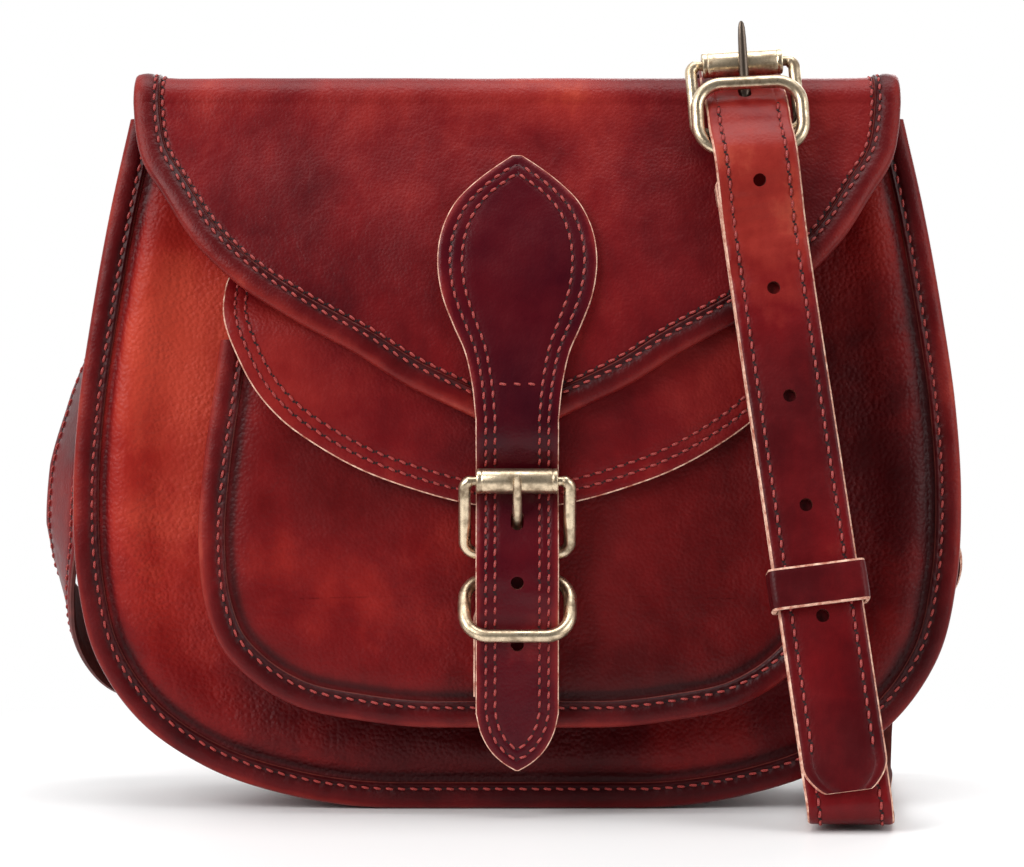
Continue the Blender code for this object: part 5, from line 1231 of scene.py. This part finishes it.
def buckle(name, place, body, slot_nodes, reach, prong_material):
    """A frame, its roller and its prong, three pieces that turn on each other."""
    half, round_by, roller_half = (0.0360 - wire) / 2, 0.0036, 0.0125
    right = corner(half - round_by, round_by, round_by, -math.pi / 2)
    step = 0.8 * (half - (roller_half + 0.0006))
    # the wire thins where it goes into the roller
    for a in np.linspace(0, math.pi / 2, 10):
        thin = 1.0 - 0.21 * max(0.0, a - 1.2) / 0.37
        right.append((half - step * (1 - math.cos(a)), bar_to_roller - step + step * math.sin(a), thin))
    right.append((roller_half + play, bar_to_roller, 0.79))
    left = [(-u, v, r) for u, v, r in reversed(right)]
    frame_piece = wire_loop(name + "_frame_wire", place, right + left, wire / 2)
    settle(frame_piece, body, "antique brass", slot_nodes[0])
    # the roller is a tube with rounded ends and a fine groove near each, bored for the frame's wire
    end = [(-roller_half, 0.0019), (-roller_half, 0.0034), (-0.01235, 0.00375), (-0.0120, roller_radius),
           (-0.0112, roller_radius), (-0.0108, roller_radius - 0.00018), (-0.0104, roller_radius)]
    u, r = np.array(end + [(-u, r) for u, r in reversed(end)]).T
    turn = np.arange(32) * 2 * math.pi / 32
    rows = np.stack([place(u, r * math.cos(a), bar_to_roller + r * math.sin(a)) for a in turn])
    roller = loft(name + "_roller_tube", rows, [0] * len(u), [brass], 0.5, ring=True)
    settle(roller, body + "_roller", "antique brass", slot_nodes[1])
    # the prong curls three quarters round the bar and tapers to a blunt tip past the roller
    turn = math.pi - prong_lean + math.radians(265) * np.linspace(1, 0, 30)
    path = [(prong_curl * math.cos(a), prong_curl * math.sin(a)) for a in turn]
    base, arm = np.array(path[-1]), np.array((math.sin(prong_lean), math.cos(prong_lean)))
    long = reach / math.cos(prong_lean)
    shares = [1.0] * 29 + [1.15]
    for t, r in ((0.05, 1.18), (0.12, 1.1), (0.22, 1.0), (0.45, 0.98), (0.7, 0.94), (0.86, 0.84), (0.94, 0.72),
                 (0.98, 0.52), (1.0, 0.2)):
        path.append(tuple(base + arm * long * t))
        shares.append(r)
    t, p, shares = directions(path), np.array(path), np.array(shares)
    rows = []
    for k in range(16):
        a = 2 * math.pi * k / 16
        deep = prong_wire * shares * math.cos(a)
        rows.append(place(0.0015 * shares * math.sin(a), p[:, 0] + t[:, 1] * deep, p[:, 1] - t[:, 0] * deep))
    prong = loft(name + "_prong_pin", np.stack(rows, axis=1), [0] * 16, [prong_material], 0.5)
    settle(prong, body + "_prong", "antique brass", slot_nodes[2])


def oval_ring(name, place, round_by, body, node):
    """A loose oval keeper, its upper bar at the frame's origin and its lower bar below it."""
    half, height = (0.0364 - ring_wire) / 2, ring_height - ring_wire
    u, low = half - round_by, -height + round_by
    path = corner(u, low, round_by, -math.pi / 2) + corner(u, -round_by, round_by, 0.0)
    path += corner(-u, -round_by, round_by, math.pi / 2) + corner(-u, low, round_by, math.pi)
    settle(wire_loop(name, place, path, ring_wire / 2), body, "antique brass", node)


gunmetal, tree = blank_material("blackened brass prong")
# left dark from the plating bath, with only a soft shine
shader = add(tree, "ShaderNodeBsdfPrincipled",
             {"Base Color": linear("#6b5f55"), "Metallic": 1.0, "Roughness": 0.38})
add(tree, "ShaderNodeOutputMaterial", {"Surface": (shader, 0)})
buckle("closure", closure, "closure_buckle",
       ("closure_frame", "closure_roller", "closure_prong"), 0.0255, brass)
# its ring hangs by its upper bar behind the chape and rests with its lower one on the strap
keeper_round = 0.0078
upper = np.array((
    closure.origin[1] + 0.00015 + tab + play + ring_wire / 2,
    closure_z - wire / 2 - tab - play - 1.15 * ring_wire))
tries = [closure_line.at(s, -(layer + 0.0012 + ring_wire / 2))
         for s in np.linspace(0, closure_line.length, 600)]
lower = min(map(np.array, tries), key=lambda p: abs(np.linalg.norm(p - upper) - 0.021) + (p[1] > upper[1]))
ring_frame = Place((0, *upper), (1, 0, 0), (0, *(upper - lower)))
oval_ring("closure_keeper_ring", ring_frame, keeper_round, "closure_loose_ring", "closure_ring")

# Shoulder strap, buckle half: from the right side ring down the side, round the back, under the bag and
# up in front to its buckle, folded over the bar and sewn to itself.
foot_x, foot_z, bar_z, strap_thick, strap_width = 0.098, 0.0095, 0.2115, 0.0024, 0.0255
# the air round a bar that a strap folds over, and between a strap and what it lies on
bar_air, strap_air = 0.0009, 0.0006
bar_out = wire / 2 + bar_air + strap_thick
bar_y = float(flap_line.at(flap_line.reach(bar_z - bar_out), -stack / 2)[0]) - strap_air - bar_out
main = strap_thick / 2 + play
rise = bar_z - foot_z
side_tilt, strap_lean = math.tan(math.radians(7.5)), math.tan(math.radians(11.5))
strap = Place((foot_x, bar_y - main - rise * strap_lean, foot_z), (1, 0, 0), (-side_tilt, strap_lean, 1))
strap_length = rise / strap.along[2]
buckle_way = (-math.tan(math.radians(4)), math.tan(math.radians(16)), 1)
shoulder = Place(strap(0, -main, strap_length), (1, 0, 0), buckle_way)
shoulder_nodes = ("shoulder_frame", "shoulder_roller", "shoulder_prong")
buckle("shoulder", shoulder, "shoulder_buckle", shoulder_nodes, 0.0320, gunmetal)
lower, upper = shoulder(0.0003, 0.0057, -0.0070), shoulder(0.0006, 0.0071, 0.0135)
ring_frame = Place(upper, shoulder.across, upper - lower)
oval_ring("shoulder_keeper_ring", ring_frame, keeper_round, "shoulder_loose_ring", "shoulder_ring")


def side_place(sign):
    """A frame on the gusset's outside at the side ring's height: along runs up the gusset."""
    outer = inset(rim_path(rim_outline, *body_size, body_height, 20), 0.0085)
    half = outer[len(outer) // 2:]
    height, below = 0.198, 0.025
    x, low = (float(np.interp(h, half[:, 1], half[:, 0])) for h in (height, height - below))
    return Place((sign * x, body_depth / 2, height), (0, sign, 0), (sign * (x - low), 0, below))


def side_ring(side, sign):
    """A tab sewn on the gusset and the ring that it holds, which the strap pulls straight down."""
    place = side_place(sign)
    radius = ring_wire / 2 + play + tab / 2
    bar = play + radius + tab / 2
    fold = [(w, -v) for w, v in fold_over(bar, 0.0, radius, tab, play, 0.0)[2:-2]]
    inner, foot, top = play + tab / 2, 0.0096, 0.016
    outer = inner + tab + play
    spine = curve_through([(outer, top), (outer, foot)] + fold + [(inner, foot), (inner, top)], 90)
    middles = place(0.0, spine[:, 0], spine[:, 1])
    across = np.tile(-place.across, (len(middles), 1))
    piece, lines = ribbon(side + "_ring_tab_leather", middles, across, 0.022, tab, tab_finish, 0.42, tab_row)
    settle(piece, "bag", "red leather", side + "_ring_tab")
    thread = sew(side + "_tab_thread", [(points[:28], normals[:28]) for points, normals in lines], *fine_stitch)
    settle(thread, "bag", "red leather")
    upper, lower = place(0.0, bar, 0.0), place(0.0, bar + 0.0022, ring_wire - ring_height)
    ring = Place(upper, place.across, upper - lower)
    oval_ring(side + "_side_ring", ring, 0.0044, "bag", side + "_ring")
    return ring


left_ring, right_ring = side_ring("left", -1), side_ring("right", 1)


sewn_end, ring_end_width = 0.022, 0.020


def strap_run(ring, run, ends, heading):
    """A strap's way from a side ring round the bag: its middle line, its sides and its widths."""
    loop = fold_over(0.0, 0.0, ring_wire / 2 + play + strap_thick / 2, strap_thick, strap_air, -sewn_end, 9)
    places = [ring(0.0, w, v + ring_wire - ring_height) for w, v in loop[:0:-1]]
    first = len(places) - 1
    sides = [None] * len(places)
    for (x, y, z), out in run:
        places.append(np.array((x * body_width / 2, y * body_depth, z * body_height)))
        sides.append(out)
    for place, out in ends:
        places.append(np.array(place))
        sides.append(out)
    middles = curve_through(places, 700, end=heading)
    along = lengths(middles)
    marks = along[[int(np.argmin(np.linalg.norm(middles - p, axis=1))) for p in places]]
    across = []
    for s, t in zip(along, directions(middles)):
        k = min(int(np.searchsorted(marks, s, side="right")) - 1, len(places) - 2)
        if k < first:
            across.append(-ring.across)
            continue
        two = np.cross(t, sides[k + 1])
        two /= np.linalg.norm(two)
        one = -ring.across if k == first else np.cross(t, sides[k]) / np.linalg.norm(np.cross(t, sides[k]))
        share = (s - marks[k]) / (marks[k + 1] - marks[k])
        across.append(one * (1 - share) + two * share)
    widths = ring_end_width + 0.0055 * np.clip((along - marks[first]) / sewn_end, 0, 1)
    return middles, np.array(across), widths


def cut_strap(name, strip, strap_tone, kept, finishes, wrinkle):
    """One leather length of a strap: the kept rows of its middles, sides and widths."""
    middles, across, widths = (part[kept] for part in strip)
    return ribbon(name, middles, across, widths, strap_thick, finishes, strap_tone[kept], 0.0036, wrinkle)


short_run = (
    ((0.968, 0.53, 0.62), (1, 0, 0)), ((0.992, 0.66, 0.53), (1, 0.05, 0)),
    ((1.023, 0.84, 0.46), (1, 0.18, 0)), ((1.036, 1.025, 0.400), (0.9, 0.45, 0)),
    ((1.010, 1.145, 0.335), (0.5, 0.85, 0)), ((0.930, 1.200, 0.265), (0.15, 1, 0)),
    ((0.868, 1.225, 0.18), (0, 1, 0)), ((0.842, 1.235, 0.105), (0, 1, -0.1)),
    ((0.832, 1.185, 0.038), (0, 0.7, -0.7)), ((0.824, 1.080, 0.0165), (0, 0.1, -1)),
    ((0.820, 0.990, 0.0150), (0, 0, -1)), ((0.785, 0.50, 0.0150), (0, 0, -1)),
    ((0.748, 0.0, 0.0150), (0, 0, -1)),
)
# at the foot it comes out from under the bag and bends up in front, round a radius of about 6 mm
foot, bend = strap(0.0, 0.0, -0.0003), 0.006
ends = []
for back, up, slant in ((2.0, 0.0, 2.55), (1.0, 0.0, 1.55), (0.3, 0.3, 0.77)):
    out = np.array((0, 0, -1.0)) + (strap.outward if up else 0)
    spot = (foot[0] + slant * bend * side_tilt, foot[1] + back * bend, 0.002 + strap_thick / 2 + up * bend)
    ends.append((spot, out))
ends.append((foot, strap.outward))
middles, across, widths = strap_run(right_ring, short_run, ends, strap.along)
radius = wire / 2 + bar_air + strap_thick / 2
line = fold_over(-main, strap_length, radius, strap_thick, strap_air, strap_length - sewn_end)
line = curve_through([(0.0, 0.0003), (0.0, 0.5 * strap_length)] + line, 420)
front_run = strap(0.0, line[:, 0], line[:, 1])
narrow = np.clip((line[:, 1] - (strap_length - 3.0 * radius) + radius) / radius, 0, 1)
front_widths = ring_end_width + 0.0055 * (1 - narrow)
strip = (
    np.vstack([middles, front_run[2:]]), np.vstack([across, np.tile(strap.across, (len(front_run) - 2, 1))]),
    np.concatenate([widths, front_widths[2:]]))
# the solid is split under the bag, and the visible strap is split at the same place
cut_at = int(np.argmin(np.linalg.norm(strip[0] - np.array((0.107, 0.020, 0.0033)), axis=1)))
strap_finish = [strap_leather, raw_edge, strap_underside_shade]
strap_tone = 0.46 + 0.16 * ripple(strip[0], 0.05, 12.0)
piece, lines = cut_strap("buckle_strap_rear", strip, strap_tone, slice(0, cut_at + 1), strap_finish, 0.00010)
settle(piece, "bag", "red leather", "short_strap_rear")
start_row = int(np.argmax(lengths(strip[0]) > 0.030))
settle(sew("buckle_strap_rear_thread", [(a[start_row:], b[start_row:]) for a, b in lines]),
       "bag", "red leather")
piece, lines = cut_strap("buckle_strap_front", strip, strap_tone, slice(cut_at, None), strap_finish, 0.00010)
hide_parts("short_strap_front")
last = len(strip[0]) - cut_at - 60
thread = sew("buckle_strap_front_thread", [(a[:last], b[:last]) for a, b in lines])
for obj in (piece, thread):
    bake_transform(obj)

# Shoulder strap, punched half: from the left side ring down and round the low left corner, up the back,
# over the flap, under the roller and over the prong, and down in front as the hanging tail.
long_run = (
    ((-1.020, 0.50, 0.59), (-1, -0.4, 0)), ((-1.054, 0.51, 0.49), (-1, -0.6, 0)),
    ((-1.066, 0.54, 0.39), (-1, -0.6, 0)), ((-1.068, 0.65, 0.31), (-1, -0.25, -0.15)),
    ((-1.034, 0.85, 0.240), (-0.8, 0.45, -0.4)), ((-0.938, 1.07, 0.185), (-0.5, 0.8, -0.3)),
    ((-0.775, 1.15, 0.195), (-0.1, 1, 0)), ((-0.55, 1.145, 0.305), (0, 1, 0)),
    ((-0.22, 1.11, 0.51), (0, 1, 0)), ((0.08, 1.085, 0.70), (0, 1, 0)), ((0.29, 1.070, 0.82), (0, 1, 0)),
    ((0.405, 1.062, 0.895), (0, 1, 0)),
)
off = -(stack / 2 + strap_air + strap_thick / 2)
back, top = map(float, flap_line.at(0.0, off))
cross_x = 0.45 * body_width / 2
ends = [((cross_x, back, z), (0, 1, 0)) for z in (mouth - 0.0075, top - 0.0012)]
middles, across, widths = strap_run(left_ring, long_run, ends, (0, 0, 1))
leave = flap_line.reach(flap_top - fold_radius) - 0.72 * fold_radius
roller_x = float(shoulder(0.0, 0.0, bar_to_roller)[0])
points = []
for share in np.linspace(0, 1, 34):
    drift = share * share * (3 - 2 * share)
    y, z = flap_line.at(share * leave, off)
    points.append((cross_x + (roller_x - cross_x) * drift, float(y), float(z)))
# it lies on the folded end at the bar, passes over the ring's lower bar and hangs on the strap behind it
over = wire / 2 + bar_air + strap_thick + strap_air + strap_thick / 2
points += [tuple(shoulder(0.0, over * math.cos(a), over * math.sin(a))) for a in (0.6, 0.0)]
lower = ring_frame(0.0, 0.0, ring_wire - ring_height) - strap.origin
lower = lower + strap.outward * (ring_wire / 2 + 0.0018 + strap_thick / 2)
points.append(tuple(strap(0.0, lower @ strap.outward, lower @ strap.along)))
tail_out, tail_tip_z = strap_thick + play, 0.012
for w, share in ((0.001, 0.84), (0, 0.74), (0, 0.5)):
    points.append(tuple(strap(0.0, tail_out + w, share * strap_length)))
points.append(tuple(strap(0.0, tail_out, (tail_tip_z - foot_z) / strap.along[2])))
front = curve_through(points, 620, start=(0, 0, 1))
turning = np.where(front[:, 1] < 0, np.clip((0.230 - front[:, 2]) / 0.030, 0, 1), 0.0)[:, None]
front_across = -(1 - turning) * np.array((1.0, 0, 0)) - turning * strap.across
left_over = np.clip((lengths(front)[-1] - lengths(front)) / 0.009, 0, 1)
front_widths = strap_width * (0.55 + 0.45 * np.sin(left_over * math.pi / 2) ** 0.8)
strip = (np.vstack([middles, front]), np.vstack([across, front_across]), np.concatenate([widths, front_widths]))
apart = np.concatenate([[True], np.linalg.norm(np.diff(strip[0], axis=0), axis=1) > 0.0001])
strip = [part[apart] for part in strip]
under_roller = int(np.argmin(np.linalg.norm(strip[0] - shoulder(0.0, -0.004, bar_to_roller), axis=1)))
# in front it is lighter just below the buckle, and painted shade darkens it towards its end, near the table
y, z = strip[0][:, 1], strip[0][:, 2]
front_tone_and_shade = 0.26 * np.exp(-((z - 0.190) / 0.028) ** 2) - 0.12 * np.exp(-((z - 0.030) / 0.030) ** 2)
strap_tone = 0.47 + 0.16 * ripple(strip[0], 0.05, 15.0) + front_tone_and_shade * (y < -0.01)
rear_finish = [strap_leather, dyed_edge, strap_underside_shade]
piece, lines = cut_strap("punched_strap_rear", strip, strap_tone, slice(0, under_roller + 1), rear_finish, 0.00012)
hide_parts("long_strap_rear")
thread = sew("punched_strap_rear_thread", [(a[start_row:], b[start_row:]) for a, b in lines])
for obj in (piece, thread):
    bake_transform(obj)
tail = strip[0][under_roller:]
# it is crumpled most just below the buckle, where it was bent each time it was buckled
bump = np.exp(-((tail[:, 2] - 0.178) / 0.022) ** 2)
crumple = 0.00012 + 0.0005 * bump
piece, lines = cut_strap("punched_strap_tail", strip, strap_tone, slice(under_roller, None), strap_finish, crumple)
settle(piece, "flap", "red leather", "long_strap_front")
tail_along, tail_pitch = lengths(tail), 0.0338
crossing = prong_meets(shoulder, tail)
spots = []
for k in range(6):
    s = tail_along[crossing] + k * tail_pitch
    here, ahead = read_at((s, s - 0.002), tail_along, tail)
    spots.append((Place(here, strap.across, ahead - here), hole_radius, worn_long if k == 0 else 0.0))
punched(piece, spots, strap_finish)
rows_kept = slice(int(np.argmax(tail_along > 0.018)), len(tail) - 22)
settle(sew("punched_strap_thread", [(a[rows_kept], b[rows_kept]) for a, b in lines]), "flap", "red leather")

# Keeper: a narrow loop of the straps' bridle leather with its pale cut edges showing, closed at the back.
# It slides on the strap and holds the tail to it.
keeper_up, keeper_half, keeper_layer = 0.0624 / strap.along[2], 0.0062, 0.00065
low = -(strap_thick / 2 + strap_air) - keeper_layer
high = strap_thick / 2 + play + strap_thick + 0.0030 + keeper_layer
half, round_by = (strap_width + 2 * strap_air + 2 * keeper_layer) / 2, 0.0016
path = []
for u, w, start in ((half - round_by, low + round_by, -math.pi / 2), (half - round_by, high - round_by, 0.0),
                    (round_by - half, high - round_by, math.pi / 2),
                    (round_by - half, low + round_by, math.pi)):
    path += [(u, w) for u, w, _ in corner(u, w, round_by, start, 6)]
path = np.array(path)
fine_path = []
for a, b in zip(path, np.roll(path, -1, axis=0)):
    steps = max(int(np.linalg.norm(b - a) / 0.0012), 1)
    fine_path += [a + (b - a) * k / steps for k in range(steps)]
path = np.array(fine_path)
run = unit(np.roll(path, -1, axis=0) - np.roll(path, 1, axis=0))
section = (
    (-1, -1), (-0.9, -1), (0.9, -1), (1, -1), (1, 0.6), (0.9, 1), (0.6, 1.15), (0, 1.2), (-0.6, 1.15),
    (-0.9, 1), (-1, 0.6))
rows = []
for up, out in section:
    d = out * keeper_layer
    rows.append(strap(path[:, 0] + run[:, 1] * d, path[:, 1] - run[:, 0] * d, keeper_up + up * keeper_half))
kinds = [2, 2, 2, 1, 1, 0, 0, 0, 0, 1, 1]
keeper = loft("keeper_loop_leather", np.stack(rows, axis=1), kinds, tab_finish, 0.34, ring=True)
settle(keeper, "keeper", "red leather", "strap_keeper")

# Zip slider: a small cast body on the coil, plated like the buckles, with a flat pull that hangs from it.
# The two slide along the zip together.
def rounded_block(name, middle, halves, round_by):
    """A small brass block with rounded corners in the front view."""
    (x, y, z), (half_x, half_y, half_z) = middle, halves
    u, v = half_x - round_by, half_z - round_by
    ring = corner(x + u, z - v, round_by, -math.pi / 2, 5) + corner(x + u, z + v, round_by, 0.0, 5)
    ring += corner(x - u, z + v, round_by, math.pi / 2, 5) + corner(x - u, z - v, round_by, math.pi, 5)
    ring, centre = np.array(ring)[:, :2], np.array((x, z))
    rows = []
    for depth, share in ((-1, 0.92), (-0.8, 1.0), (0.8, 1.0), (1, 0.92)):
        rows.append(at_depth(centre + (ring - centre) * share, y + depth * half_y))
    return loft(name, rows, [0] * len(ring), [brass], 0.5)


slider_x = 0.066
slider = rounded_block("zip_slider_body", (slider_x, 0.0688, zip_z), (0.0043, 0.0012, 0.0036), 0.0014)
settle(slider, "zip_pull", "antique brass", "zip_slider")
pull = rounded_block("zip_pull_plate", (slider_x, 0.0682, 0.1580), (0.0021, 0.0005, 0.0092), 0.0018)
settle(pull, "zip_pull", "antique brass")
